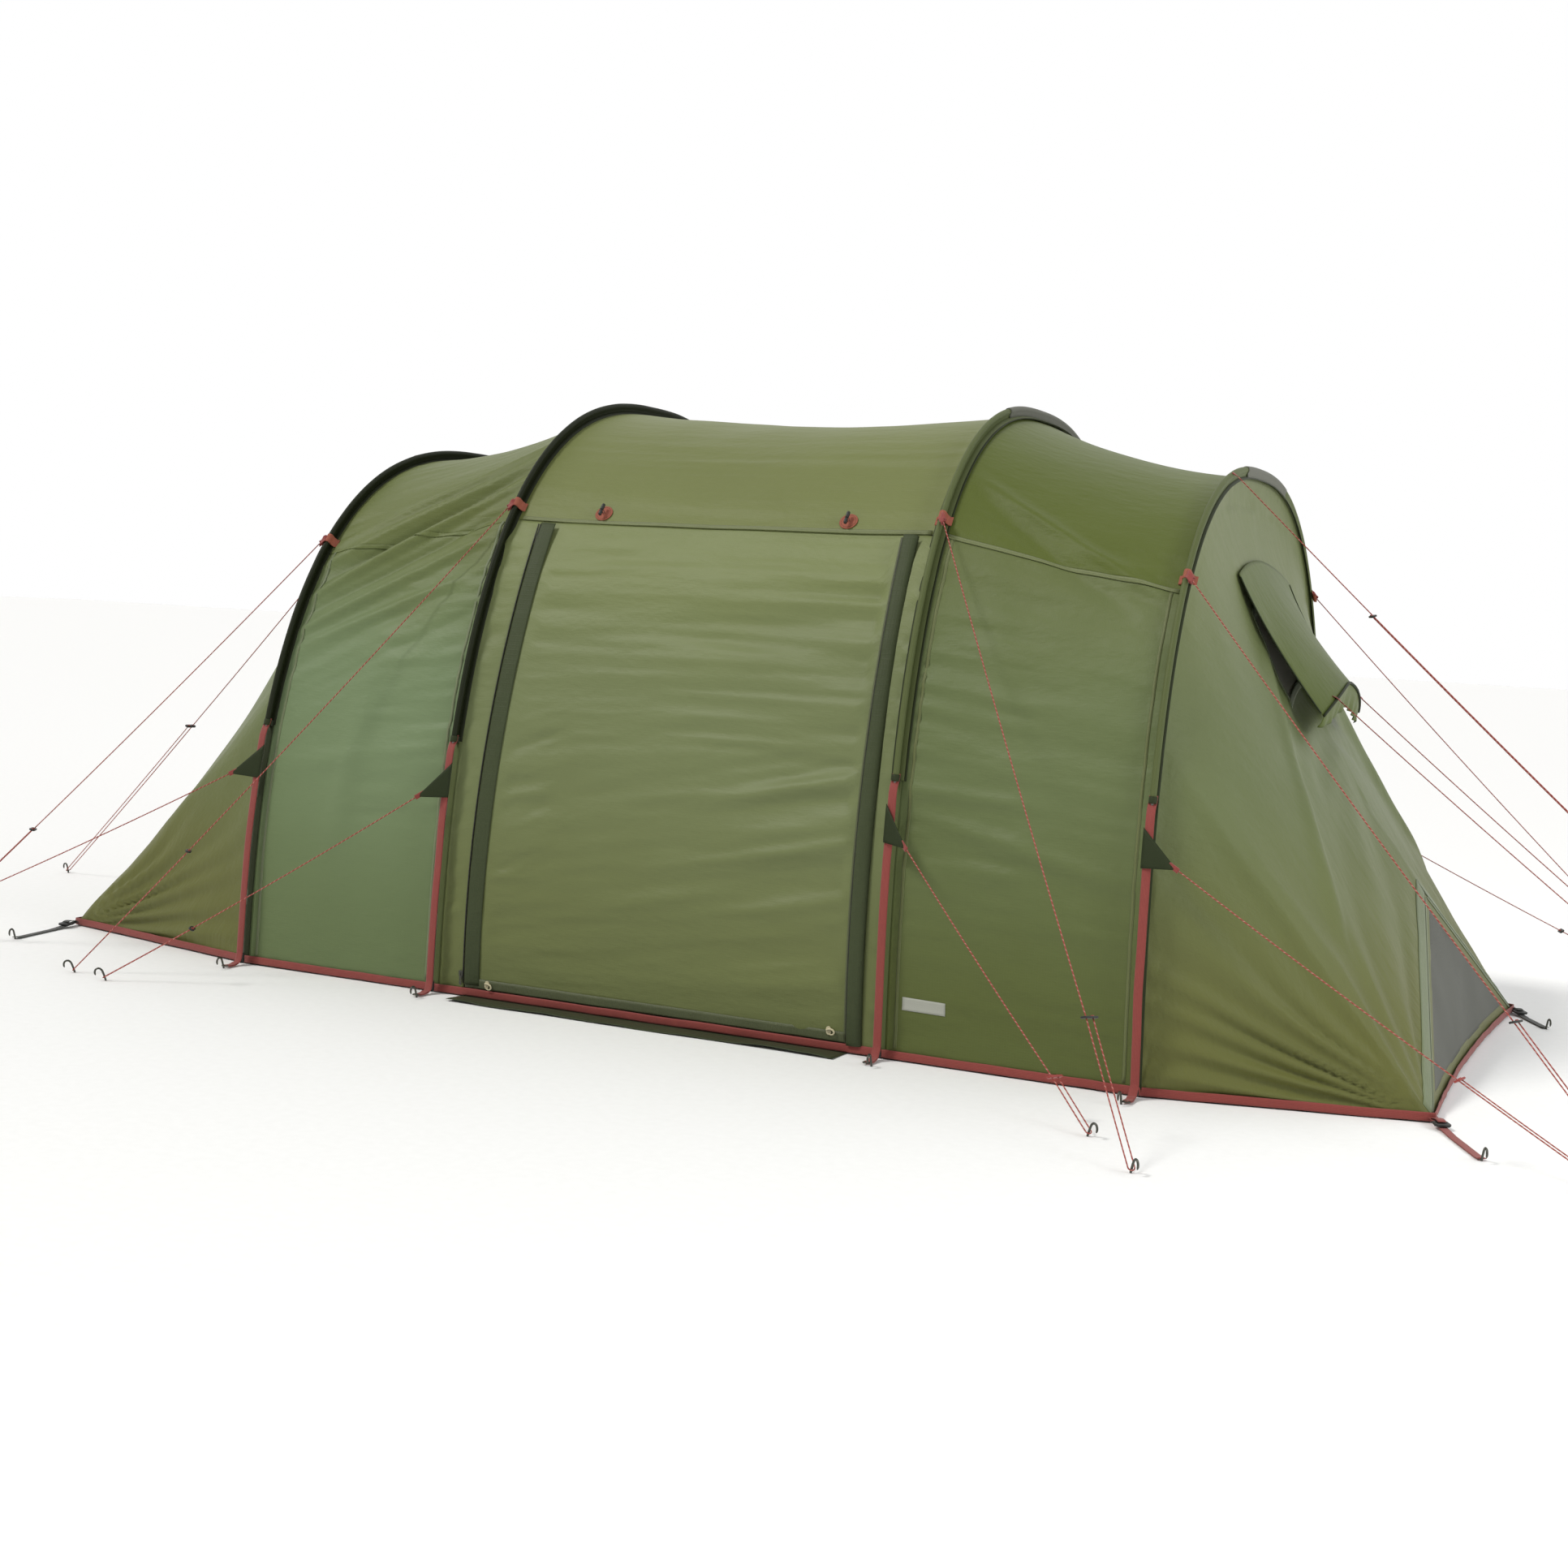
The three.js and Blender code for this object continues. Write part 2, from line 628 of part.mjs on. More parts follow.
function cabinDoorShape(gap) {
  const [half, height] = [cabinDoorWidth / 2 + gap, cabinDoorHeight + gap];
  const corner = half * 0.6;
  const outline = new THREE.Shape();
  outline.moveTo(-half, -gap);
  outline.lineTo(half, -gap);
  outline.lineTo(half, height - corner);
  outline.quadraticCurveTo(half, height, half - corner, height);
  outline.lineTo(corner - half, height);
  outline.quadraticCurveTo(-half, height, -half, height - corner);
  outline.closePath();
  return outline;
}
// A slab in the plane of a cabin's inner wall, shaped by an outline across Y and up Z.
function wallSlab(outline, x, depth, y) {
  const geometry = new THREE.ExtrudeGeometry(outline, {
    depth,
    bevelEnabled: false,
    curveSegments: 4,
  });
  const basis = new THREE.Matrix4().makeBasis(
    new THREE.Vector3(0, 1, 0),
    new THREE.Vector3(0, 0, 1),
    new THREE.Vector3(1, 0, 0),
  );
  geometry.applyMatrix4(basis);
  geometry.translate(x, y, cabinDoorSill);
  return geometry;
}
function weld(geometry) {
  const position = geometry.attributes.position;
  const seen = new Map();
  const points = [];
  const order = [];
  for (let i = 0; i < position.count; i++) {
    const p = new THREE.Vector3().fromBufferAttribute(position, i);
    const key = p.toArray().map((v) => v.toFixed(4)).join("/");
    if (!seen.has(key)) {
      seen.set(key, points.push(p) - 1);
    }
    order.push(seen.get(key));
  }
  const index = geometry.index ? Array.from(geometry.index.array, (i) => order[i]) : order;
  const triangles = [];
  for (let i = 0; i < index.length; i += 3) {
    triangles.push([index[i], index[i + 1], index[i + 2]]);
  }
  return closedBody(points, triangles);
}
function addCabin(name, side) {
  const stations = cabinStations(side);
  const inside = stations.map((station, i) => {
    const inward = i === 0 ? 1 : i === stations.length - 1 ? -1 : 0;
    return { ...station, x: station.x + side * inward * fabricThickness };
  });
  const outer = toManifold(loftSolid(stations.map((s) => cabinRing(s, 0, 0))));
  const inner = toManifold(loftSolid(inside.map((s) => cabinRing(s, fabricThickness, fabricThickness))));
  const wallX = stations[0].x;
  const shiftY = side * cabinDoorShift;
  const cutter = weld(wallSlab(cabinDoorShape(cabinDoorGap), wallX - 10, 20, shiftY));
  addPart(name, fromManifold(outer.subtract(inner).subtract(toManifold(cutter))), cabinCream);
  const doorX = side < 0 ? wallX - fabricThickness : wallX;
  const door = wallSlab(cabinDoorShape(0), doorX, fabricThickness, shiftY);
  addPart(name.replace("cabin", "cabin_door"), door, cabinCream);
}
addCabin("cabin_left", -1);
addCabin("cabin_right", 1);

// ---------- guy lines ----------
// Each line runs from a tab on a sleeve, or on the hood, to its peg on the ground, with a little sag.
const upperTabAngle = THREE.MathUtils.degToRad(48.5);
const lowerTabHeight = 570;
const tabOutset = 12;
const topTabAngle = THREE.MathUtils.degToRad(76);
const guySag = 0.008;
const guySteps = 5;
const topTabShift = sleeveHalfWidth + 4;
const archTab = (i, angle, side = 1) => {
  const p = archPoint(arches[i], angle, -tabOutset);
  return side < 0 ? mirrorY(p) : p;
};
const topTab = (i, side) => archPoint(arches[i], topTabAngle, -poleRadius, side * topTabShift);
const lowerTab = (i, side = 1) => archTab(i, angleAtHeight(arches[i], lowerTabHeight), side);
const hoodTab = (across) => {
  const p = hoodPoint(across, 1);
  return p.setX(p.x + hoodTabReach);
};
const guys = [
  ["guy_near_1_upper", archTab(0, upperTabAngle), -2116, -1300],
  ["guy_near_1_lower", lowerTab(0), -2253, -1300],
  ["guy_near_2_upper", archTab(1, upperTabAngle), -1444, -1408],
  ["guy_near_2_lower", lowerTab(1), -1305, -1442],
  ["guy_near_3_upper", archTab(2, upperTabAngle), 1530, -1668],
  ["guy_near_3_lower", lowerTab(2), 1372, -1435],
  ["guy_near_4_upper", archTab(3, upperTabAngle), 2463, -1300],
  ["guy_near_4_lower", lowerTab(3), 2416, -1300],
  ["guy_far_1_upper", archTab(0, upperTabAngle, -1), -2116, 1300],
  ["guy_far_1_lower", lowerTab(0, -1), -2253, 1300],
  ["guy_far_2_upper", archTab(1, upperTabAngle, -1), -1370, 1430],
  ["guy_far_3_upper", archTab(2, upperTabAngle, -1), 1530, 1430],
  ["guy_far_4_upper", archTab(3, upperTabAngle, -1), 2463, 1300],
  ["guy_far_4_lower", lowerTab(3, -1), 2480, 1400],
  ["guy_top_1", topTab(0, -1), -2820, 0],
  ["guy_top_4", topTab(3, 1), 2860, 300],
  ["guy_hood_near", hoodTab(-0.6), 2700, 180],
  ["guy_hood_far", hoodTab(0.6), 2650, 620],
];
function guyLine(from, groundX, groundY) {
  const to = new THREE.Vector3(groundX, groundY, guyDiameter / 2 + 0.5);
  const drop = from.distanceTo(to) * guySag;
  const points = evenSteps(0, 1, guySteps).map((share) => {
    const p = lerp(from, to, share);
    p.z -= drop * 4 * share * (1 - share);
    return p;
  });
  points[points.length - 1].z = to.z;
  return new THREE.CatmullRomCurve3(points);
}
const cordOutline = new THREE.Shape(
  circleOutline(guyDiameter / 2, 8).map(([x, y]) => new THREE.Vector2(x, y)),
);
for (const [name, from, groundX, groundY] of guys) {
  const geometry = new THREE.ExtrudeGeometry(cordOutline, {
    steps: guySteps,
    bevelEnabled: false,
    extrudePath: guyLine(from, groundX, groundY),
  });
  addPart(name, geometry, cordRed);
}

export default group;
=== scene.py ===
"""Looks for a four-arch tunnel tent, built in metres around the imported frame."""
import math

import bpy
import numpy as np
from mathutils import Matrix, Vector
from numpy import array, clip, concatenate, linspace, minimum, stack


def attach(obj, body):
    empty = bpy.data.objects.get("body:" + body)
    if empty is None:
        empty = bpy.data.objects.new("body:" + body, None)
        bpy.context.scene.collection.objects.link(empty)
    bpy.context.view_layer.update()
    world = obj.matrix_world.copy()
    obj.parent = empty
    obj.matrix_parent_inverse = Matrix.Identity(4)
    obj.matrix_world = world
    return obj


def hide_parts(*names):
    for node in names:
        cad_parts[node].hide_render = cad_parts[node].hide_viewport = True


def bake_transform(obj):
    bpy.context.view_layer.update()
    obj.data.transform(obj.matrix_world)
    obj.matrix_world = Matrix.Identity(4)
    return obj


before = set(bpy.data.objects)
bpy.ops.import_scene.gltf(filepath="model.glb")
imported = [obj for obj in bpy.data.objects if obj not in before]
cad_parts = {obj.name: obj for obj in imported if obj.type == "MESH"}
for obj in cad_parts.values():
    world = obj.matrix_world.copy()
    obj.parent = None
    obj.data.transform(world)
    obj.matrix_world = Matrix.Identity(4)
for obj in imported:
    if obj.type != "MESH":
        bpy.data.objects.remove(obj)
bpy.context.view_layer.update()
TURN = 2 * math.pi


class Nodes:
    """Adds and joins shader nodes in the node tree of a material or a world."""

    def __init__(self, owner):
        owner.use_nodes = True
        self.owner = owner
        self.tree = owner.node_tree

    def add(self, kind, inputs=None, **settings):
        node = self.tree.nodes.new("ShaderNode" + kind)
        for key, value in settings.items():
            setattr(node, key, value)
        for key, value in (inputs or {}).items():
            self.put(node.inputs[key], value)
        return node

    def put(self, socket, value):
        if isinstance(value, bpy.types.NodeSocket):
            self.tree.links.new(value, socket)
        else:
            socket.default_value = value

    def math(self, operation, a, b=0.0):
        return self.add("Math", {0: a, 1: b}, operation=operation).outputs[0]

    def plus(self, a, b):
        return self.math("ADD", a, b)

    def times(self, a, b):
        return self.math("MULTIPLY", a, b)

    def mix(self, factor, a, b):
        node = self.add("Mix", {"Factor": factor}, data_type="RGBA")
        self.put(node.inputs[6], a)
        self.put(node.inputs[7], b)
        return node.outputs[2]

    def place(self):
        return self.add("TexCoord").outputs["Object"]

    def cloth_plane(self):
        """The map of the cloth in metres, and its two directions: u runs across and v along."""
        uv = self.add("UVMap", uv_map="UVMap").outputs[0]
        split = self.add("SeparateXYZ", {0: uv})
        return uv, split.outputs[0], split.outputs[1]

    def noise(self, vector, scale, detail=3.0, stretch=(1, 1, 1)):
        mapped = self.add("Mapping", {"Vector": vector, "Scale": stretch}).outputs[0]
        return self.add("TexNoise", {"Vector": mapped, "Scale": scale, "Detail": detail}).outputs["Fac"]

    def bands(self, along, pitch):
        """1 on the crest and 0 in the trough of a wave of that pitch."""
        wave = self.math("SINE", self.times(along, TURN / pitch))
        return self.add("Math", {0: wave, 1: 0.5, 2: 0.5}, operation="MULTIPLY_ADD").outputs[0]

    def spread(self, value, low, high):
        return self.add("MapRange", {0: value, 3: low, 4: high}).outputs[0]

    def finish(self, color, roughness, height, depth, strength, **uniform):
        shader = self.tree.nodes["Principled BSDF"]
        bump = self.add("Bump", {"Height": height, "Distance": depth, "Strength": strength})
        self.put(shader.inputs["Base Color"], color)
        self.put(shader.inputs["Roughness"], roughness)
        self.put(shader.inputs["Normal"], bump.outputs[0])
        for key, value in uniform.items():
            shader.inputs[key.replace("_", " ")].default_value = value
        return bump


# ---------- camera, lights and world ----------
# The camera stands where the photograph was taken from.
YAW, PITCH, ROLL = math.radians(24.7721), math.radians(4.7204), math.radians(3.0896)
EYE, LENS = (2.56556, -5.63743, 1.06342), 47.951
END_LAMP, END_TARGET = Vector((7.0, -2.5, 3.2)), Vector((1.6, 0, 0.7))

scene = bpy.context.scene
scene.view_settings.view_transform = "Standard"
ahead = Vector((-math.sin(YAW) * math.cos(PITCH), math.cos(YAW) * math.cos(PITCH), -math.sin(PITCH)))
level = Vector((math.cos(YAW), math.sin(YAW), 0))
upward = level.cross(ahead)
right = math.cos(ROLL) * level + math.sin(ROLL) * upward
up = math.cos(ROLL) * upward - math.sin(ROLL) * level


def axes_matrix(x, y, z, place):
    """A matrix whose axes follow three directions, at a place."""
    return Matrix.Translation(Vector(place)) @ Matrix((x, y, z)).transposed().to_4x4()


camera = bpy.data.objects.new("camera", bpy.data.cameras.new("camera"))
camera.matrix_world = axes_matrix(right, up, -ahead, EYE)
camera.data.sensor_width = 36
camera.data.lens = LENS
camera.data.clip_end = 200
scene.collection.objects.link(camera)
scene.camera = camera


def light(name, kind, way, power, color, place=(0, 0, 0), **settings):
    lamp = bpy.data.lights.new(name, kind)
    lamp.energy = power
    lamp.color = color
    for key, value in settings.items():
        setattr(lamp, key, value)
    obj = bpy.data.objects.new(name, lamp)
    obj.location = place
    obj.rotation_euler = Vector(way).to_track_quat("-Z", "Y").to_euler()
    scene.collection.objects.link(obj)


light("key", "SUN", (0.62, 0.55, -0.95), 1.75, (1, 0.985, 0.95), angle=math.radians(13))
light("end_light", "AREA", END_TARGET - END_LAMP, 130, (0.95, 0.98, 1), END_LAMP, shape="DISK", size=2.2)

# The sky is bright behind the tent and dimmer behind the camera.
world = bpy.data.worlds.new("world")
scene.world = world
sky = Nodes(world)
across_sky = sky.add("SeparateXYZ", {0: sky.add("TexCoord").outputs["Generated"]}).outputs[1]
brightness = sky.add("MapRange", {0: across_sky, 1: -0.35, 2: 0.45, 3: 0.34, 4: 1.0}).outputs[0]
sky.put(sky.tree.nodes["Background"].inputs[0], (1, 1, 1, 1))
sky.put(sky.tree.nodes["Background"].inputs[1], brightness)


# ---------- materials ----------
# Each material is kept with the slot of the frame that its pieces belong to.
MAT, SLOT = {}, {}
THREAD, RIPSTOP = 0.0011, 0.0065


def linear(code, factor=1.0):
    parts = [int(code[i : i + 2], 16) / 255 for i in (0, 2, 4)]
    return [factor * (p / 12.92 if p <= 0.04045 else ((p + 0.055) / 1.055) ** 2.4) for p in parts] + [1]


def new_material(name, slot):
    nodes = Nodes(bpy.data.materials.new(name))
    MAT[name] = nodes.owner
    SLOT[name] = slot
    return nodes


def cloth_material(name, slot, code, second, rough=(0.42, 0.56), thread=THREAD, ripstop=RIPSTOP, sheen=0.02,
                   grain=0.0001, crease=0.0, painted_sky_tints=()):
    """Coated cloth: a fine plain weave with a square of thicker threads, soft blotches and creases.
    The sky tints are painted reflection: colours that change with height, mixed in near the ground and near
    the top."""
    n = new_material(name, slot)
    uv, u, v = n.cloth_plane()
    place = n.place()
    blotch = n.noise(place, 1.7, 4)
    streak = n.noise(uv, 9, 4, (0.35, 1.6, 1))
    fleck = n.noise(uv, 900, 2)
    weave = n.math("MAXIMUM", n.bands(u, thread), n.bands(v, thread))
    square = n.math("MAXIMUM", *[n.math("POWER", n.bands(way, ripstop), 14) for way in (u, v)])
    base = n.mix(n.spread(blotch, 0.0, 0.9), linear(code), linear(second))
    # painted sky reflection: the first tint takes over low down and the second near the top, so the base tone
    # stays only at mid height
    if painted_sky_tints:
        up_cloth = n.add("SeparateXYZ", {0: place}).outputs[2]
        wavy = n.plus(up_cloth, n.times(blotch, 0.3))
        for sky_tint, start, end, low, high in ((painted_sky_tints[0], 0.25, 0.90, 1.0, 0.0),
                                            (painted_sky_tints[1], 1.0, 1.42, 0.0, 1.0)):
            share = n.add("MapRange", {0: wavy, 1: start, 2: end, 3: low, 4: high},
                          interpolation_type="SMOOTHSTEP").outputs[0]
            base = n.mix(share, base, linear(sky_tint))
    base = n.mix(n.spread(streak, 0.0, 0.2), base, linear(code, 0.86))
    base = n.mix(n.times(fleck, 0.12), base, linear(code, 0.86))
    base = n.mix(n.times(square, 0.07), base, linear(second))
    roughness = n.spread(n.plus(n.times(blotch, 0.6), n.times(streak, 0.4)), *rough)
    height = n.plus(n.times(weave, 0.5), square)
    bump = n.finish(base, roughness, height, grain, 0.8, Sheen_Weight=sheen, Sheen_Roughness=0.4,
                    Specular_IOR_Level=0.22)
    if crease:
        long_creases = n.noise(uv, 18, 3, (0.45, 1.2, 1))
        short_creases = n.noise(uv, 55, 3, (0.7, 1.1, 1))
        crumple = n.plus(long_creases, n.times(short_creases, 0.35))
        creased = n.add("Bump", {"Height": crumple, "Distance": crease, "Strength": 1.0})
        n.put(bump.inputs["Normal"], creased.outputs[0])


def stitched_material(name, slot, code, second, thread_code):
    """A narrow strip of the fly's cloth with two rows of lock stitch (u runs across, v along)."""
    n = new_material(name, slot)
    uv, u, v = n.cloth_plane()
    weave = n.math("MAXIMUM", n.bands(u, THREAD), n.bands(v, THREAD))
    rows = n.math("POWER", n.bands(n.plus(u, 0.0016), 0.0058), 22)
    stitch = n.times(rows, n.math("GREATER_THAN", n.bands(v, 0.0042), 0.28))
    blotch = n.noise(n.place(), 5, 4)
    pucker = n.noise(uv, 120, 3, (0.4, 1, 1))
    base = n.mix(n.spread(blotch, 0, 0.9), linear(code), linear(second))
    base = n.mix(stitch, base, linear(thread_code))
    height = n.math("SUBTRACT", n.plus(n.times(weave, 0.2), n.times(pucker, 1.6)), n.times(rows, 0.8))
    n.finish(base, n.spread(blotch, 0.48, 0.66), height, 0.0005, 0.9, Sheen_Weight=0.1)


def webbing_material(name, slot, code, second):
    """Flat woven tape: ribs across it and cords along it (u runs across, v along)."""
    n = new_material(name, slot)
    uv, u, v = n.cloth_plane()
    ribs = n.bands(v, 0.0021)
    woven = n.times(ribs, n.bands(n.plus(u, n.times(ribs, 0.0004)), 0.0026))
    wear = n.noise(uv, 60, 4)
    base = n.mix(n.times(woven, 0.75), linear(code), linear(second))
    base = n.mix(n.spread(n.noise(n.place(), 4, 3), 0.0, 0.35), base, linear(code, 0.72))
    base = n.mix(n.math("POWER", wear, 5), base, linear(second))
    n.finish(base, n.spread(wear, 0.62, 0.84), woven, 0.0004, 0.9, Sheen_Weight=0.2)


def cord_material(name, slot, code, second):
    """Braided line: strands that cross on the slant with light tracer threads (u round, v along)."""
    n = new_material(name, slot)
    uv, u, v = n.cloth_plane()
    slant = n.times(u, 1.4)
    leaning = n.plus(v, slant)
    braid = n.math("MAXIMUM", n.bands(leaning, 0.0032), n.bands(n.math("SUBTRACT", v, slant), 0.0032))
    tracer = n.math("POWER", n.bands(leaning, 0.0128), 8)
    base = n.mix(n.times(braid, 0.5), linear(code), linear(code, 0.6))
    base = n.mix(n.times(tracer, 0.7), base, linear(second))
    n.finish(base, n.spread(n.noise(uv, 300, 2), 0.65, 0.85), braid, 0.0004, 0.9)


def net_material(name, slot, thread_code, gap_code, pitch=0.0021):
    """Insect net: round holes in offset rows between pale threads."""
    n = new_material(name, slot)
    uv, u, v = n.cloth_plane()
    holes = n.times(n.bands(u, pitch), n.bands(n.plus(v, n.times(u, 0.5)), pitch))
    drape = n.noise(n.place(), 3.5, 4)
    base = n.mix(n.math("POWER", holes, 0.8), linear(thread_code), linear(gap_code))
    base = n.mix(n.spread(drape, 0.0, 0.4), base, linear(gap_code))
    n.finish(base, n.spread(drape, 0.7, 0.9), holes, -0.0003, 0.8)


def tube_material(name, slot, code, metallic, rough):
    """Drawn tube with fine lines along it and a few rubbed places (u round, v along)."""
    n = new_material(name, slot)
    uv = n.cloth_plane()[0]
    lines = n.noise(uv, 700, 2, (1, 0.02, 1))
    base = n.mix(n.times(lines, 0.3), linear(code), linear(code, 0.7))
    base = n.mix(n.math("POWER", n.noise(uv, 14, 5), 6), base, linear("c9c7bf"))
    n.finish(base, n.spread(lines, rough, rough + 0.16), lines, 0.00004, 0.5, Metallic=metallic)


def plastic_material(name, slot, code, rough=0.42):
    """Moulded nylon: an even spark-eroded grain and slight flow marks."""
    n = new_material(name, slot)
    place = n.place()
    flow = n.noise(place, 45, 3)
    light_tone = [min(1, c * 1.5 + 0.004) for c in linear(code)[:3]] + [1]
    base = n.mix(n.spread(flow, 0.0, 0.5), linear(code), light_tone)
    n.finish(base, n.spread(flow, rough, rough + 0.15), n.noise(place, 1800, 2), 0.00006, 0.6)


# The fly is one cloth. The tones of its panels are partly painted light: the right bay is darker, and the
# left bay greyer and bluer than the middle.
cloth_material("roof_left", "fly_side", "6f825b", "7b8c68", crease=0.0035, painted_sky_tints=("68774e", "69703c"))
cloth_material("roof_mid", "fly_roof", "6a713d", "7a824d", crease=0.003)
cloth_material("roof_right", "fly_roof", "545f25", "606b2f", crease=0.003)
cloth_material("side_right", "fly_side", "626e44", "6e7a52", crease=0.0035, painted_sky_tints=("58602f", "646d3f"))
cloth_material("door", "sleeve_olive", "6f784f", "7b855b", crease=0.003, painted_sky_tints=("6b7244", "7c8554"))
cloth_material("end", "fly_side", "656f45", "707a51", crease=0.0035, painted_sky_tints=("686936", "6f774c"))
cloth_material("hood", "fly_roof", "56622c", "616e38", crease=0.003)
cloth_material("sleeve_dark", "sleeve_dark", "171c0a", "232912", (0.5, 0.68), sheen=0.0)
cloth_material("sleeve_olive", "sleeve_olive", "525b32", "616a42", (0.5, 0.66))
cloth_material("binding", "sleeve_olive", "272e17", "343c22", (0.55, 0.7), sheen=0.05)
cloth_material("flap", "sleeve_olive", "3a4228", "485136", (0.5, 0.65), 0.0024, 0.013, grain=0.0003)
# apex is the grey painted highlight laid over the tops of sleeves 3 and 4
cloth_material("apex", "sleeve_olive", "5f6054", "6d6e63", (0.5, 0.62))
cloth_material("patch_dark", "sleeve_dark", "232b14", "303a1f", (0.55, 0.7))
cloth_material("patch_red", "webbing", "93513f", "a35f4b", (0.6, 0.75))
cloth_material("floor_cloth", "floor_cloth", "333a26", "454c33", (0.4, 0.6), 0.0026, 0.02, grain=0.0004)
cloth_material("mud_wall", "floor_cloth", "4e4632", "615842", (0.5, 0.7))
cloth_material("cabin", "cabin_cloth", "c9c4b2", "dad6c7", (0.75, 0.88), 0.0009, 0.006)
cloth_material("label", "mesh", "9ea094", "b9bab0", (0.6, 0.75))
stitched_material("seam_left", "fly_side", "66714c", "7a8561", "3c452c")
stitched_material("seam_right", "fly_side", "58602f", "6c7343", "343a20")
stitched_material("seam_roof", "fly_side", "646c3e", "747c4d", "4d5530")
stitched_material("door_hem", "sleeve_olive", "4a5130", "5c6340", "2c311d")
webbing_material("webbing", "webbing", "86322b", "ab5348")
webbing_material("webbing_dark", "webbing", "20231c", "34382e")
cord_material("cord", "cord", "a5443a", "d9a79c")
net_material("net", "mesh", "6f7067", "3f413b")
net_material("net_pale", "mesh", "a9a79b", "67665c", 0.0026)
tube_material("pole", "pole", "8f8d84", 0.75, 0.3)
tube_material("ferrule", "pole", "b7b5ad", 0.85, 0.24)
tube_material("steel", "hardware", "55564f", 0.85, 0.34)
plastic_material("plastic", "hardware", "1c1d19")
plastic_material("plastic_red", "hardware", "8a2f28")
plastic_material("plastic_pale", "hardware", "b9b08f")
plastic_material("studio_floor", None, "f2f2f1", 0.8)

FLOOR_HALF = 60
floor_mesh = bpy.data.meshes.new("studio_floor")
floor_corners = [(x * FLOOR_HALF, y * FLOOR_HALF, 0) for x, y in ((-1, -1), (1, -1), (1, 1), (-1, 1))]
floor_mesh.from_pydata(floor_corners, [], [(0, 1, 2, 3)])
floor_mesh.materials.append(MAT["studio_floor"])
floor = bpy.data.objects.new("studio_floor", floor_mesh)
floor.location.z = -0.0006
scene.collection.objects.link(floor)


# ---------- meshes ----------
def smooth(share):
    return share * share * (3 - 2 * share)


def ramp(x, low, high):
    """0 below low, 1 above high and an even rise between."""
    return clip((x - low) / (high - low), 0, 1)


def smooth_noise(u, v, seed):
    """Smooth noise from -1 to 1, one lattice cell per unit."""
    cells = 64
    table = np.random.default_rng(seed).uniform(-1, 1, (cells, cells))
    u, v = np.broadcast_arrays(np.asarray(u, float), np.asarray(v, float))
    iu, iv = np.floor(u).astype(int), np.floor(v).astype(int)
    fu, fv = smooth(u - iu), smooth(v - iv)
    rows = [table[iu % cells, (iv + b) % cells] * (1 - fu) + table[(iu + 1) % cells, (iv + b) % cells] * fu
            for b in (0, 1)]
    return rows[0] * (1 - fv) + rows[1] * fv


def unit(a):
    return a / np.maximum(np.linalg.norm(a, axis=-1, keepdims=True), 1e-12)


def walked(path):
    """The distance walked along a path, at each of its points."""
    return concatenate([[0], np.cumsum(np.linalg.norm(np.diff(path, axis=0), axis=-1))])


def arc(radius, start, end, count, centre=(0, 0)):
    """Points on a circle between two angles."""
    return [(centre[0] + radius * math.cos(a), centre[1] + radius * math.sin(a)) for a in linspace(start, end,
                                                                                                   count)]


def circle(radius, count=12, centre=(0, 0)):
    return arc(radius, 0, TURN * (1 - 1 / count), count, centre)


def rounded_bar(length, width, count=8):
    """A stadium outline along y."""
    middle = length / 2 - width / 2
    return arc(width / 2, 0, math.pi, count, (0, middle)) + arc(width / 2, math.pi, TURN, count, (0, -middle))


def other_half(outline):
    """The mirror image of an outline's right half, in the order that goes on round it."""
    return [(-x, y) for x, y in outline[::-1]]


def basis(x_axis, y_axis, place):
    """A matrix whose x and y follow two directions, at a place."""
    x, y = Vector(x_axis).normalized(), Vector(y_axis)
    y = (y - x * y.dot(x)).normalized()
    return axes_matrix(x, y, x.cross(y), place)


def spline(points, count):
    """A smooth path through a few points, evenly spaced."""
    p = np.asarray(points, float)
    p = concatenate([[2 * p[0] - p[1]], p, [2 * p[-1] - p[-2]]])
    t = linspace(0, len(p) - 3 - 1e-9, 400)
    i = np.floor(t).astype(int)
    f = (t - i)[:, None]
    a, b, c, d = p[i], p[i + 1], p[i + 2], p[i + 3]
    dense = 0.5 * (2 * b + (c - a) * f + (2 * a - 5 * b + 4 * c - d) * f**2 + (3 * b - a - 3 * c + d) * f**3)
    walk = walked(dense)
    even = linspace(0, walk[-1], count)
    return stack([np.interp(even, walk, dense[:, k]) for k in range(3)], -1)


def arc_lengths(points):
    """(across, along): the distance walked over a grid of points in both directions."""
    across, along = np.zeros(points.shape[:2]), np.zeros(points.shape[:2])
    across[:, 1:] = np.cumsum(np.linalg.norm(np.diff(points, axis=1), axis=-1), axis=1)
    along[1:] = np.cumsum(np.linalg.norm(np.diff(points, axis=0), axis=-1), axis=0)
    return across, along


def place_mesh(mesh, material, body="root", slot=None, stands_for=None):
    mesh.materials.clear()
    mesh.materials.append(MAT[material])
    obj = bpy.data.objects.new(mesh.name, mesh)
    scene.collection.objects.link(obj)
    if isinstance(body, str):
        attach(obj, body)
    else:
        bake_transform(obj)
    if stands_for:
        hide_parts(stands_for)
    return obj


def faced_mesh(name, vertices, faces, corner_uv, smooth_faces, material, **where):
    mesh = bpy.data.meshes.new(name)
    mesh.from_pydata([tuple(p) for p in vertices], [], [tuple(f) for f in faces])
    layer = mesh.uv_layers.new(name="UVMap")
    layer.data.foreach_set("uv", np.asarray(corner_uv, np.float32).ravel())
    mesh.polygons.foreach_set("use_smooth", np.arange(len(faces)) < smooth_faces)
    return place_mesh(mesh, material, **where)


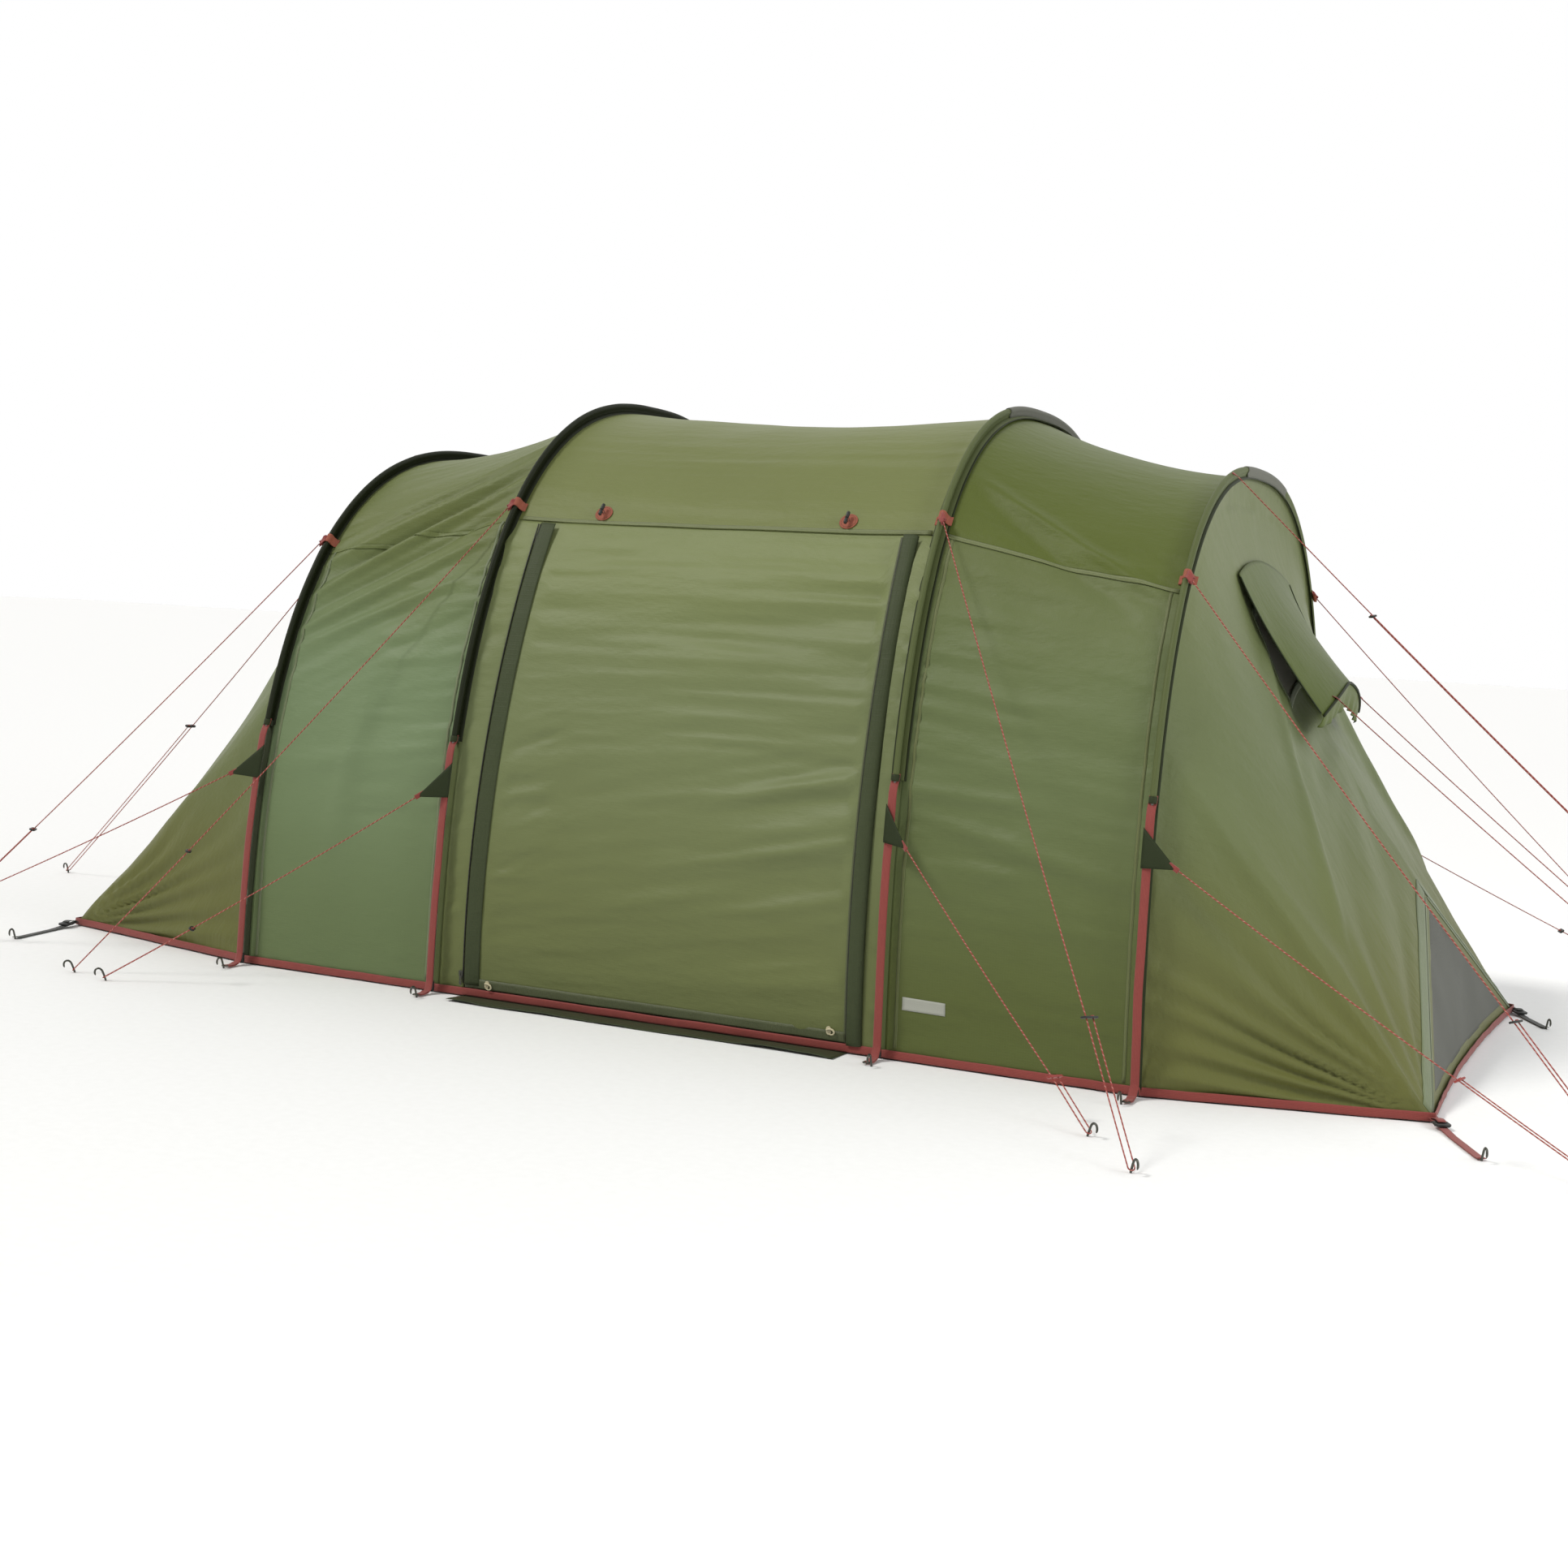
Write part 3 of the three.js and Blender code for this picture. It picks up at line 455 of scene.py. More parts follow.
def sheet_mesh(name, points, material, thick=0.0008, flip=1, keep=None, wrap=False, turned=False, **where):
    """A grid of points as a closed thin sheet, with its thickness on the side away from its normal.
    keep marks the cells that are cloth, wrap joins its last column to its first, and turned swaps the
    cloth's two directions. The rim is flat shaded."""
    rows, columns = points.shape[:2]
    if wrap:
        step_across = np.roll(points, -1, 1) - np.roll(points, 1, 1)
        closed = concatenate([points, points[:, :1]], 1)
    else:
        step_across = np.gradient(points, axis=1)
        closed = points
    normal = unit(np.cross(step_across, np.gradient(points, axis=0))) * flip
    uv = stack(arc_lengths(closed), -1)
    ids = np.arange(rows * columns).reshape(rows, columns)
    ids = concatenate([ids, ids[:, :1]], 1) if wrap else ids
    uv_ids = np.arange(uv.shape[0] * uv.shape[1]).reshape(uv.shape[:2])
    cells = ids.shape[1] - 1
    keep = np.ones((rows - 1, cells), bool) if keep is None else keep
    quads, quad_uv = (stack([a[:-1, :-1], a[:-1, 1:], a[1:, 1:], a[1:, :-1]], -1) for a in (ids, uv_ids))
    shift = rows * columns
    faces = [quads[keep], quads[keep][:, ::-1] + shift]
    uvs = [quad_uv[keep], quad_uv[keep][:, ::-1]]
    padded = np.zeros((rows + 1, cells + 2), bool)
    padded[1:-1, 1:-1] = keep
    if wrap:
        padded[1:-1, 0], padded[1:-1, -1] = keep[:, -1], keep[:, 0]
    beyond = [padded[:-2, 1:-1], padded[1:-1, 2:], padded[2:, 1:-1], padded[1:-1, :-2]]
    for k, joined in enumerate(beyond):
        rim = keep & ~joined
        a, b = quads[rim][:, k], quads[rim][:, (k + 1) % 4]
        faces.append(stack([b, a, a + shift, b + shift], -1))
        a, b = quad_uv[rim][:, k], quad_uv[rim][:, (k + 1) % 4]
        uvs.append(stack([b, a, a, b], -1))
    faces, uvs = concatenate(faces), concatenate(uvs)
    if flip < 0:
        faces, uvs = faces[:, ::-1], uvs[:, ::-1]
    vertices = concatenate([points.reshape(-1, 3), (points - normal * thick).reshape(-1, 3)])
    used, faces_new = np.unique(faces, return_inverse=True)
    corner_uv = uv.reshape(-1, 2)[uvs.ravel()]
    corner_uv = corner_uv[:, ::-1] if turned else corner_uv
    return faced_mesh(name, vertices[used], faces_new.reshape(-1, 4), corner_uv, 2 * int(keep.sum()),
                      material, **where)


def soft_sheet(name, points, material, held="stretched", rests=(), length=None, keep=None, **settings):
    """A sheet of cloth. Its area and cut size are worked out and left unused."""
    obj = sheet_mesh(name, points, material, keep=keep, **settings)
    du = points[:-1, 1:] - points[:-1, :-1]
    dv = points[1:, :-1] - points[:-1, :-1]
    cells = np.linalg.norm(np.cross(du, dv), axis=-1)
    area = float((cells if keep is None else cells[keep]).sum())
    wide, tall = (float(walk.max()) for walk in arc_lengths(points))
    width, length = round(wide, 3), round(length or tall, 3)
    area = min(area, 0.999 * wide * tall, 0.999 * width * length)
    return obj


def tube_mesh(name, path, radius, material, sides=8, flat=1.0, side_axis=(0.31, 0.47, 0.83), **where):
    """A closed tube along a path. radius may change along it, and flat squeezes it on one axis."""
    path = np.asarray(path, float)
    count = len(path)
    radius = np.broadcast_to(np.asarray(radius, float), (count,))
    tangent = unit(np.gradient(path, axis=0))
    side = [unit(np.cross(tangent[0], side_axis))]
    for way in tangent[1:]:
        side.append(unit(side[-1] - way * np.dot(side[-1], way)))
    side = array(side)
    other = np.cross(tangent, side)
    turn = np.arange(sides) * TURN / sides
    ring = side[:, None] * np.cos(turn)[None, :, None] * flat + other[:, None] * np.sin(turn)[None, :, None]
    vertices = (path[:, None] + ring * radius[:, None, None]).reshape(-1, 3)
    walk = walked(path)
    girth = TURN * float(radius.max())
    faces, uvs = [], []
    for i in range(count - 1):
        for j in range(sides):
            a, b = i * sides + j, i * sides + (j + 1) % sides
            faces.append((a, b, b + sides, a + sides))
            u, v = girth * j / sides, girth * (j + 1) / sides
            uvs += [(u, walk[i]), (v, walk[i]), (v, walk[i + 1]), (u, walk[i + 1])]
    for first, order in ((0, -1), ((count - 1) * sides, 1)):
        faces.append(tuple(range(first, first + sides))[::order])
        uvs += [(0, walk[-1] if first else 0)] * sides
    return faced_mesh(name, vertices, faces, uvs, len(faces), material, **where)


def ribbon(name, path, width_axis, width, thick, material="webbing", columns=5, crown=0.0, **where):
    """A flat tape along a path. width_axis is the way across it."""
    path = np.asarray(path, float)
    axis = np.broadcast_to(np.asarray(width_axis, float), path.shape)
    tangent = unit(np.gradient(path, axis=0))
    axis = unit(axis - tangent * (axis * tangent).sum(1, keepdims=True))
    shares = linspace(-0.5, 0.5, columns)
    face = np.cross(axis, tangent)
    lift = crown * (1 - (2 * shares) ** 2)
    points = path[:, None] + axis[:, None] * (shares * width)[None, :, None] + face[:, None] * lift[None, :,
                                                                                                    None]
    return sheet_mesh(name, points, material, thick, **where)


def plate_mesh(name, outline, holes, thick, bevel, matrix, material, **where):
    """A moulded plate from a flat outline with holes, with rounded edges."""
    curve = bpy.data.curves.new(name + "_outline", "CURVE")
    curve.dimensions = "2D"
    curve.fill_mode = "BOTH"
    curve.extrude = thick / 2 - bevel
    curve.bevel_depth = bevel
    curve.bevel_resolution = 2
    for loop in [outline] + list(holes):
        line = curve.splines.new("POLY")
        line.points.add(len(loop) - 1)
        for point, (x, y) in zip(line.points, loop):
            point.co = (x, y, 0, 1)
        line.use_cyclic_u = True
    shape = bpy.data.objects.new(name + "_outline", curve)
    scene.collection.objects.link(shape)
    bpy.context.view_layer.update()
    mesh = bpy.data.meshes.new_from_object(shape.evaluated_get(bpy.context.evaluated_depsgraph_get()))
    bpy.data.objects.remove(shape)
    mesh.name = name
    mesh.transform(matrix)
    return place_mesh(mesh, material, **where)


# ---------- the tent's shape, as in the frame ----------
# Each arch is (x of its foot, height, lean). Angles run from the door side's ground over the roof.
ARCHES = [(-1.2, 1.5, 0.043), (-0.565, 1.65, 0.031), (0.725, 1.65, -0.031), (1.36, 1.5, -0.043)]
HALF_WIDTH, POWER, INSET, SAG, HEM_LOW = 1.025, 2.58, 0.022, 0.030, 0.006
SEAM, CORNER = math.radians(46.5), math.radians(27.5)
CORNER_X, CORNER_Y, NOSE_SHARE, NOSE_Z, END_SAG = 1.99, 0.825, 0.735, 0.421, 0.100
ZIP_OFFSET, ZIP_GAP, ZIP_Y, ZIP_Z, ZIP_R = 0.090, 0.003, 1.4462523, 0.1896787, 2.4555429
DOOR_SPAN, END_SPAN = ARCHES[2][0] - ARCHES[1][0], ARCHES[1][0] - ARCHES[0][0]
DOOR_TOP, DOOR_LOW = 1.2763003, 0.028
DOOR_BEND = ("root", "door", (0, -0.74, 1.276), (0, -0.80, 1.215))
BAYS = ("left", "mid", "right")
BOTH_SIDES = ((-1, "near"), (1, "far"))
BOTH_ENDS = ((-1, "left"), (1, "right"))
DOOR_ENDS = (("left", 1), ("right", 2))
HALF = math.pi / 2


def mirror_y(sign):
    """Carries points of the door side to the side with that sign of y."""
    return array([1, -sign, 1])


def arch_normal(arch, t):
    c, s = np.cos(t), np.maximum(np.sin(t), 0)
    y = -np.sign(c) * np.abs(c) ** (2 / POWER * (POWER - 1)) / HALF_WIDTH
    z = s ** (2 / POWER * (POWER - 1)) / arch[1]
    return unit(stack([np.zeros_like(y), y, z], -1))


def arch_point(arch, t, inset=0.0, shift=0.0):
    t = np.asarray(t, float)
    x0, height, lean = arch
    c, s = np.cos(t), np.maximum(np.sin(t), 0)
    n = arch_normal(arch, t)
    y = -np.sign(c) * HALF_WIDTH * np.abs(c) ** (2 / POWER) - n[..., 1] * inset
    z = height * s ** (2 / POWER) - n[..., 2] * inset
    return stack([x0 + shift + lean * z / height, y, z], -1)


def arch_section(arch, t, outline):
    """A cross-section of (x, distance off the pole) points, carried along the arch."""
    return stack([arch_point(arch, t, -off, x) for x, off in outline], 1)


def angle_at(arch, height):
    return math.asin((height / arch[1]) ** (POWER / 2))


def even_angles(arch, start, end, step):
    """Angles from start to end that are evenly spaced along the arch."""
    t = linspace(start, end, 600)
    walk = walked(arch_point(arch, t))
    count = max(2, int(round(walk[-1] / step)))
    return np.interp(linspace(0, walk[-1], count + 1), walk, t)


def side_walk(arch, t):
    """Distance along the arch from the ground on the door side."""
    dense = linspace(0, math.pi, 900)
    return np.interp(t, dense, walked(arch_point(arch, dense)))


def metres_per_turn(arch, t):
    return float(side_walk(arch, t + 0.01) - side_walk(arch, t - 0.01)) / 0.02


def window(x, low, high, soft):
    """1 between low and high, falling to 0 over the soft distance outside."""
    return smooth(minimum(clip((x - low) / soft + 1, 0, 1), clip((high - x) / soft + 1, 0, 1)))


def fold(x, v, start, end, width, height):
    """A ridge along a line from start to end that dies away at both ends."""
    dx, dv = end[0] - start[0], end[1] - start[1]
    length = math.hypot(dx, dv)
    along = ((x - start[0]) * dx + (v - start[1]) * dv) / length**2
    across = ((v - start[1]) * dx - (x - start[0]) * dv) / length
    return height * np.sin(math.pi * clip(along, 0, 1)) ** 0.6 * np.exp(-((across / width) ** 2))


def ripples(x, v, pitch, length, slope, seed, sharp=1.3):
    """Fine creases that run along x, tilted by slope."""
    w = v - slope * x
    a = smooth_noise(x / length, w / pitch, seed) + 0.5 * smooth_noise(x / length * 1.7, w / pitch * 1.9,
                                                                       seed + 1)
    return np.sign(a) * np.abs(a) ** sharp


# The creases of each bay on the door side: their windows across and up the cloth, their height, and
# the pitch, length, slope and seed of the ripples.
ALL_ACROSS = (-9, 9, 1)
BAY_RIPPLES = (
    [(ALL_ACROSS, (0.95, 1.75, 0.25), 0.0040, (0.040, 0.7, 0.42, 41)),
     ((END_SPAN - 0.24, END_SPAN, 0.12), (0.5, 1.3, 0.2), 0.0046, (0.026, 0.3, 0.02, 45))],
    [(ALL_ACROSS, (1.28, 1.66, 0.12), 0.0030, (0.032, 0.6, 0.0, 61))],
    [(ALL_ACROSS, (0.05, 1.35, 0.2), 0.0036, (0.045, 0.45, -0.03, 51)),
     ((0, 0.26, 0.15), (0.5, 1.15, 0.2), 0.0050, (0.028, 0.25, 0, 53))],
)
# The folds of each bay: where they start and end on the cloth, their width and height.
LEFT_FOLDS = ((1.02, 1.33, 0.01955), (1.07, 1.43, -0.0138), (1.13, 1.52, 0.023), (1.17, 1.60, -0.0161),
              (1.25, 1.64, 0.01495), (0.97, 1.20, 0.01265), (1.32, 1.72, 0.0138))
BAY_FOLDS = (
    [((-0.05, low), (END_SPAN + 0.05, high), 0.016, height) for low, high, height in LEFT_FOLDS]
    + [((0.33, 1.05), (0.27, 0.35), 0.045, 0.011), ((0.05, 0.62), (0.6, 0.66), 0.03, 0.008)],
    [],
    [((0.03, 1.56), (END_SPAN, 1.28), 0.020, 0.014), ((0.03, 1.50), (END_SPAN - 0.1, 1.22), 0.028, -0.011),
     ((0.05, 0.60), (END_SPAN, 0.52), 0.026, 0.010), ((0.12, 1.42), (0.42, 0.15), 0.05, 0.004)],
)


def bay_wrinkles(k, x, v, total):
    """How far the cloth of a bay stands off its smooth shape. x runs from its left arch and v from
    the ground on the door side over the roof."""
    d = 0.0045 * smooth_noise(x / 0.42 + 3, v / 0.55, 21 + k) + 0.0016 * smooth_noise(x / 0.15, v / 0.19,
                                                                                      31 + k)
    near = window(v, -1, total / 2, 0.1)
    for across, up_cloth, height, creases in BAY_RIPPLES[k]:
        d = d + near * window(x, *across) * window(v, *up_cloth) * height * ripples(x, v, *creases)
    for line in BAY_FOLDS[k]:
        d = d + fold(x, v, *line)
    return d + (1 - near) * 0.0040 * ripples(x, total - v, 0.05, 0.5, 0.05, 71 + k)


def bay_at(k, t, share):
    """Points on the cloth of a bay, and the way out from them. Its wrinkles die away at the arches
    and the hem."""
    t, share = np.broadcast_arrays(np.asarray(t, float), np.asarray(share, float))
    span = ARCHES[k + 1][0] - ARCHES[k][0]
    total, v = float(side_walk(ARCHES[1], math.pi)), side_walk(ARCHES[1], t)
    x = share * span
    hold = smooth(minimum(1, minimum(x, span - x) / 0.05) * minimum(1, minimum(v, total - v) / 0.06))
    off = bay_wrinkles(k, x, v, total) * hold - SAG * 4 * share * (1 - share) * np.sin(t) ** 4
    out = arch_normal(ARCHES[k], t)
    start, end = arch_point(ARCHES[k], t, INSET), arch_point(ARCHES[k + 1], t, INSET)
    return start + (end - start) * share[..., None] + out * off[..., None], out


HEM_ANGLE = angle_at(ARCHES[1], HEM_LOW)
BAY_PARTS = (("wall_near", HEM_ANGLE, SEAM), ("roof", SEAM, math.pi - SEAM),
             ("wall_far", math.pi - SEAM, math.pi - HEM_ANGLE))
for k, bay in enumerate(BAYS):
    shares = linspace(0, 1, int(round((ARCHES[k + 1][0] - ARCHES[k][0]) / 0.010)) + 1)
    for part, start, end in BAY_PARTS:
        if (bay, part) == ("mid", "wall_near"):
            continue
        points, out = bay_at(k, even_angles(ARCHES[1], start, end, 0.011)[:, None], shares[None])
        tone = f"roof_{bay}" if part == "roof" or bay == "left" else "side_right"
        soft_sheet(f"cloth_{bay}_{part}", points, tone, rests=[f"pole_{k + 1}", f"pole_{k + 2}"],
                   slot="fly_roof" if part == "roof" else "fly_side", stands_for=f"{bay}_{part}")


# ---------- tent ends ----------
HOOD_HALF, HOOD_TOP, HOOD_BOTTOM, HOOD_LIFT, HOOD_BASE = math.radians(15), 0.17, 0.5, 0.105, 0.007
VENT_HALF, VENT_TOP, VENT_BOTTOM = math.radians(12), 0.27, 0.46
# Creases from the ground corners: pitch, height, lowest and highest angle, length and phase.
CORNER_CREASES = ((8.5, 0.0092, 5, 52, 0.95, 0.3), (5.2, 0.0040, 3, 40, 0.6, 1.1),
                  (13.0, 0.0060, 38, 88, 1.25, 2.0))


def end_arch(side):
    return ARCHES[0] if side < 0 else ARCHES[3]


def nose_x(side):
    return end_arch(side)[0] + (side * CORNER_X - end_arch(side)[0]) * NOSE_SHARE


def fold_over(t):
    """The same angle on the door side, for an angle on either side."""
    return minimum(t, math.pi - t)


def end_base(side, t, share):
    """The smooth shape of an end, from its arch to the side hem, the ground corner and the nose."""
    near = fold_over(t)
    arch = end_arch(side)
    low = angle_at(arch, HEM_LOW)
    foot = arch_point(arch, low, INSET)
    corner, nose = array([side * CORNER_X, -CORNER_Y, HEM_LOW]), array([nose_x(side), 0, NOSE_Z])
    edge = foot + (corner - foot) * ramp(near, low, CORNER)[..., None]
    edge = edge + (nose - corner) * ramp(near, CORNER, HALF)[..., None]
    start = arch_point(arch, near, INSET)
    outward = unit(stack([side * (0.45 + 0.45 * np.sin(near)), -np.cos(near), np.full_like(near, 0.4)], -1))
    sag = END_SAG * np.sin(near) ** 2 * np.sin(math.pi * clip(share, 0, 1) ** 0.65)
    p = start + (edge - start) * share[..., None] - outward * sag[..., None]
    p[..., 1] *= np.where(t > HALF, -1, 1)
    return p


def end_wrinkles(side, t, share, base):
    """Creases that spread from the ground corners to the pole's leg, and soft waves elsewhere."""
    near = fold_over(t)
    angle = np.degrees(near)
    far_shift = np.where(t > HALF, 7.0, 0.0)
    to_foot = unit(array([end_arch(side)[0] - side * CORNER_X, -1.003 + CORNER_Y]))
    back = (base[..., 0] - side * CORNER_X) * to_foot[0] + (CORNER_Y - np.abs(base[..., 1])) * to_foot[1]
    reach = np.hypot(back, base[..., 2])
    turn = np.degrees(np.arctan2(base[..., 2], np.maximum(back, 1e-3)))
    d = 0.005 * smooth_noise(angle / 17 + far_shift, share * 2.3, 81)
    d = d + 0.002 * smooth_noise(angle / 6, share * 6 + far_shift, 82)
    bend = 5.0 * smooth_noise(reach * 3, turn / 14 + far_shift, 83)
    for pitch, height, low, high, length, phase in CORNER_CREASES:
        wave = np.sin(TURN * (turn + bend) / pitch + phase)
        wave = np.sign(wave) * np.abs(wave) ** 1.25
        body = clip(reach / 0.28, 0, 1) * clip((length - reach) / (0.6 * length), 0, 1)
        d = d + (1.0 if side > 0 else 0.85) * height * wave * body * window(turn, low, high, 7)
    if side > 0:
        tension = np.exp(-(((share - 0.5) - (58 - angle) * 0.0085) / 0.035) ** 2)
        d = d + 0.013 * tension * window(angle, 42, 72, 8)
        d = d + 0.003 * np.sin(share * 60) * window(angle, 70, 90, 6) * window(share, 0.46, 0.62, 0.06)
    else:
        d = d + 0.012 * np.exp(-((angle - 25) / 3.2) ** 2) * window(share, 0.1, 0.9, 0.2)
    return d * clip(share / 0.05, 0, 1) * clip((1 - share) / 0.04, 0, 1) * clip((near - 0.004) / 0.04, 0, 1)


def end_at(side, t, share):
    """Points on the cloth of an end, and the way out from them."""
    t, share = np.broadcast_arrays(np.asarray(t, float), np.asarray(share, float))
    base = end_base(side, t, share)
    across = end_base(side, t, share + 2e-3) - end_base(side, t, share - 2e-3)
    near = fold_over(t)
    before, after = np.maximum(near - 1e-3, angle_at(end_arch(side), HEM_LOW)), minimum(near + 1e-3, HALF)
    along = end_base(side, after, share) - end_base(side, before, share)
    along[..., 1] *= np.where(t > HALF, -1, 1)
    out = unit(np.cross(across, along))
    middle = array([end_arch(side)[0], 0, 0.3])
    out = out * np.where(((base - middle) * out).sum(-1) < 0, -1, 1)[..., None]
    return base + out * end_wrinkles(side, t, share, base)[..., None], out


def spaced(marks, steps):
    """Values through all the marks, evenly spaced between neighbours."""
    parts = [linspace(a, b, n, endpoint=False) for a, b, n in zip(marks[:-1], marks[1:], steps)]
    return concatenate(parts + [[marks[-1]]])


for side, name in BOTH_ENDS:
    low = angle_at(end_arch(side), HEM_LOW) + 0.0015
    first = spaced([low, CORNER, HALF - HOOD_HALF, HALF - VENT_HALF, HALF], [42, 66, 5, 20])
    t = concatenate([first, math.pi - first[::-1][1:]])
    share = spaced([0, HOOD_TOP, VENT_TOP, VENT_BOTTOM, HOOD_BOTTOM, 1], [22, 12, 20, 5, 58])
    points, out = end_at(side, t[:, None], share[None])
    mid_t, mid_share = (t[1:] + t[:-1]) / 2, (share[1:] + share[:-1]) / 2
    across_vent = np.abs(mid_t - HALF) < VENT_HALF
    along_vent = (mid_share > VENT_TOP) & (mid_share < VENT_BOTTOM)
    keep = ~(across_vent[:, None] & along_vent[None]) if side > 0 else None
    soft_sheet(f"cloth_{name}_end", points, "end", rests=["pole_1" if side < 0 else "pole_4"], flip=side,
               keep=keep, stands_for=f"{name}_end")

# The upright triangle between the ground corners and the nose: its height, and its inner circle.
TRI_HEIGHT, TRI_RADIUS = 0.439, 0.2058


def triangle_point(side, y, rise):
    a = y / (CORNER_Y * np.maximum(1 - rise, 1e-3))
    base = side * (CORNER_X - 0.025 * (1 - clip(a, -1, 1) ** 2) * (1 - rise))
    return stack([base + (nose_x(side) - base) * rise, y, HEM_LOW + (NOSE_Z - HEM_LOW) * rise], -1)


def inner_triangle(side, rows, columns, margin, wave):
    """A grid over the triangle that keeps that margin from its edges."""
    scale = 1 - margin / TRI_RADIUS
    rise, across = np.meshgrid(linspace(0, 1, rows), linspace(-1, 1, columns), indexing="ij")
    y = across * CORNER_Y * (1 - rise) * scale
    height = TRI_RADIUS + (rise * TRI_HEIGHT - TRI_RADIUS) * scale
    p = triangle_point(side, y, clip(height / TRI_HEIGHT, 0, 0.999))
    hold = minimum(1, 6 * minimum(rise, 1 - rise)) * minimum(1, 5 * (1 - np.abs(across)))
    p[..., 0] += side * wave * smooth_noise(y / 0.12, rise * 5, 91) * hold
    return p


def triangle_ring(side, margins, count):
    """A band round the triangle, from its edge inwards."""
    tips = array([[-CORNER_Y, 0], [CORNER_Y, 0], [0, TRI_HEIGHT]])
    outline = concatenate([linspace(tips[i], tips[(i + 1) % 3], count, endpoint=False) for i in range(3)])
    centre = array([0, TRI_RADIUS])
    rings = [centre + (outline - centre) * (1 - margin / TRI_RADIUS) for margin in margins]
    return stack([triangle_point(side, q[:, 0], clip(q[:, 1] / TRI_HEIGHT, 0, 0.999)) for q in rings])


soft_sheet("cloth_left_end_panel", inner_triangle(-1, 36, 100, 0.001, 0.006), "end", length=0.5, flip=-1,
           stands_for="left_end_panel")
sheet_mesh("cloth_right_end_border", triangle_ring(1, linspace(0.0, 0.038, 5), 46), "end", 0.0012, wrap=True)
soft_sheet("net_right_end", inner_triangle(1, 34, 90, 0.034, 0.004), "net", length=0.5, thick=0.0006,
           stands_for="right_end_mesh")


# ---------- door and the strips beside it ----------
def zip_y(z):
    return ZIP_Y - np.sqrt(ZIP_R**2 - (z - ZIP_Z) ** 2)


def zip_line(arch, offset, z):
    return stack([arch[0] + offset + arch[2] * z / arch[1], zip_y(z), z], -1)


def zip_normal(z):
    return unit(stack([np.zeros_like(z), zip_y(z) - ZIP_Y, z - ZIP_Z], -1))


def raised(points, z, height):
    """Door points moved out by a height, one row for each z."""
    return points + zip_normal(z)[:, None] * height[..., None]


def tuck_under(points, z, start, share, gap):
    """Bends the top of a door piece over, so that it meets the roof's lower edge from inside."""
    roof_edge, out = bay_at(1, SEAM + 0.0025, share)
    pull = clip((z - start) / (DOOR_TOP - start), 0, 1)[:, None, None] ** 1.6
    return points + (roof_edge - out * gap - points[-1])[None] * pull


# The flap over each zip: its lowest row and, across it, offsets from the arch and heights over the zip.
# The left one is sewn to the door, the right one beside the sleeve.
FLAPS = {
    "left": (0.034, [0.0925, 0.098, 0.112, 0.128, 0.137], [0.0050, 0.0068, 0.0062, 0.0048, 0.0030],
             DOOR_BEND),
    "right": (0.022, [0.0515, 0.058, 0.070, 0.083, 0.0905], [0.0016, 0.0085, 0.0108, 0.0105, 0.0088], "root"),
}
z_rows = linspace(HEM_LOW, DOOR_TOP, 130)
share = linspace(0, 1, 14)
for name, index in DOOR_ENDS:
    arch, side = ARCHES[index], 1 if name == "left" else -1
    at_arch = arch_point(arch, array([angle_at(arch, z) for z in z_rows]), INSET)
    at_arch[:, 2] = z_rows
    at_zip = zip_line(arch, side * (ZIP_OFFSET - ZIP_GAP / 2), z_rows)
    points = at_arch[:, None] + (at_zip - at_arch)[:, None] * share[None, :, None]
    roof_share = (0 if side > 0 else 1) + side * share * ZIP_OFFSET / DOOR_SPAN
    points = tuck_under(points, z_rows, 1.2, roof_share, 0.0012)
    loose = np.sin(math.pi * clip(share / (1 if side > 0 else 0.5), 0, 1)) ** 2
    creases = ripples(share[None] * ZIP_OFFSET, z_rows[:, None], 0.028, 0.12, 0, 101 + side)
    soft_sheet(f"cloth_door_side_{name}", raised(points, z_rows, 0.0042 * creases * loose[None]), "door",
               rests=[f"pole_{index + 1}"], flip=side, stands_for=f"door_side_{name}")

    low, key_offsets, key_heights, body = FLAPS[name]
    rows = linspace(low, DOOR_TOP - 0.010, 130)
    offsets = linspace(key_offsets[0], key_offsets[-1], 11)
    height = np.interp(offsets, key_offsets, key_heights)[None] + 0 * rows[:, None]
    if name == "left":
        height = height - 0.0045 * clip((rows - 1.15) / (DOOR_TOP - 1.15), 0, 1)[:, None] ** 1.6
    wobble = smooth_noise(rows[:, None] / 0.05, offsets[None] / 0.05, 111) * linspace(0, 1, 11)[None]
    pinch = smooth_noise(rows[:, None] / 0.021, offsets[None] / 0.02, 112)
    flap = stack([zip_line(arch, side * offset, rows) for offset in offsets], 1)
    soft_sheet(f"zip_flap_{name}", raised(flap, rows, height + 0.0013 * wobble + 0.0005 * pinch), "flap",
               held="hung", rests=[f"cloth_door_side_{name}"], thick=0.0012, flip=side, body=body)

rows, share = linspace(DOOR_LOW, DOOR_TOP, 150), linspace(0, 1, 120)
at_left = zip_line(ARCHES[1], ZIP_OFFSET + ZIP_GAP / 2, rows)
at_right = zip_line(ARCHES[2], -ZIP_OFFSET - ZIP_GAP / 2, rows)
door = at_left[:, None] + (at_right - at_left)[:, None] * share[None, :, None]
z, x = np.meshgrid(rows, share * 1.1, indexing="ij")
edge = smooth(ramp(x, 0.044, 0.104) * clip((1.1 - x - 0.008) / 0.035, 0, 1)) * minimum(1,
                                                                                       (z - DOOR_LOW) / 0.04)
to_right = 0.25 + 0.75 * ramp(x, 0.35, 0.85)
d = 0.0115 * ripples(x, z, 0.034, 0.6, 0.0, 121, 1.1) * window(z, 0.75, 1.14, 0.12) * to_right
d += 0.0105 * ripples(x, z, 0.050, 0.5, 0.2, 123, 1.1) * window(z, 0.22, 0.66, 0.15) * (0.4 + 0.6 * to_right)
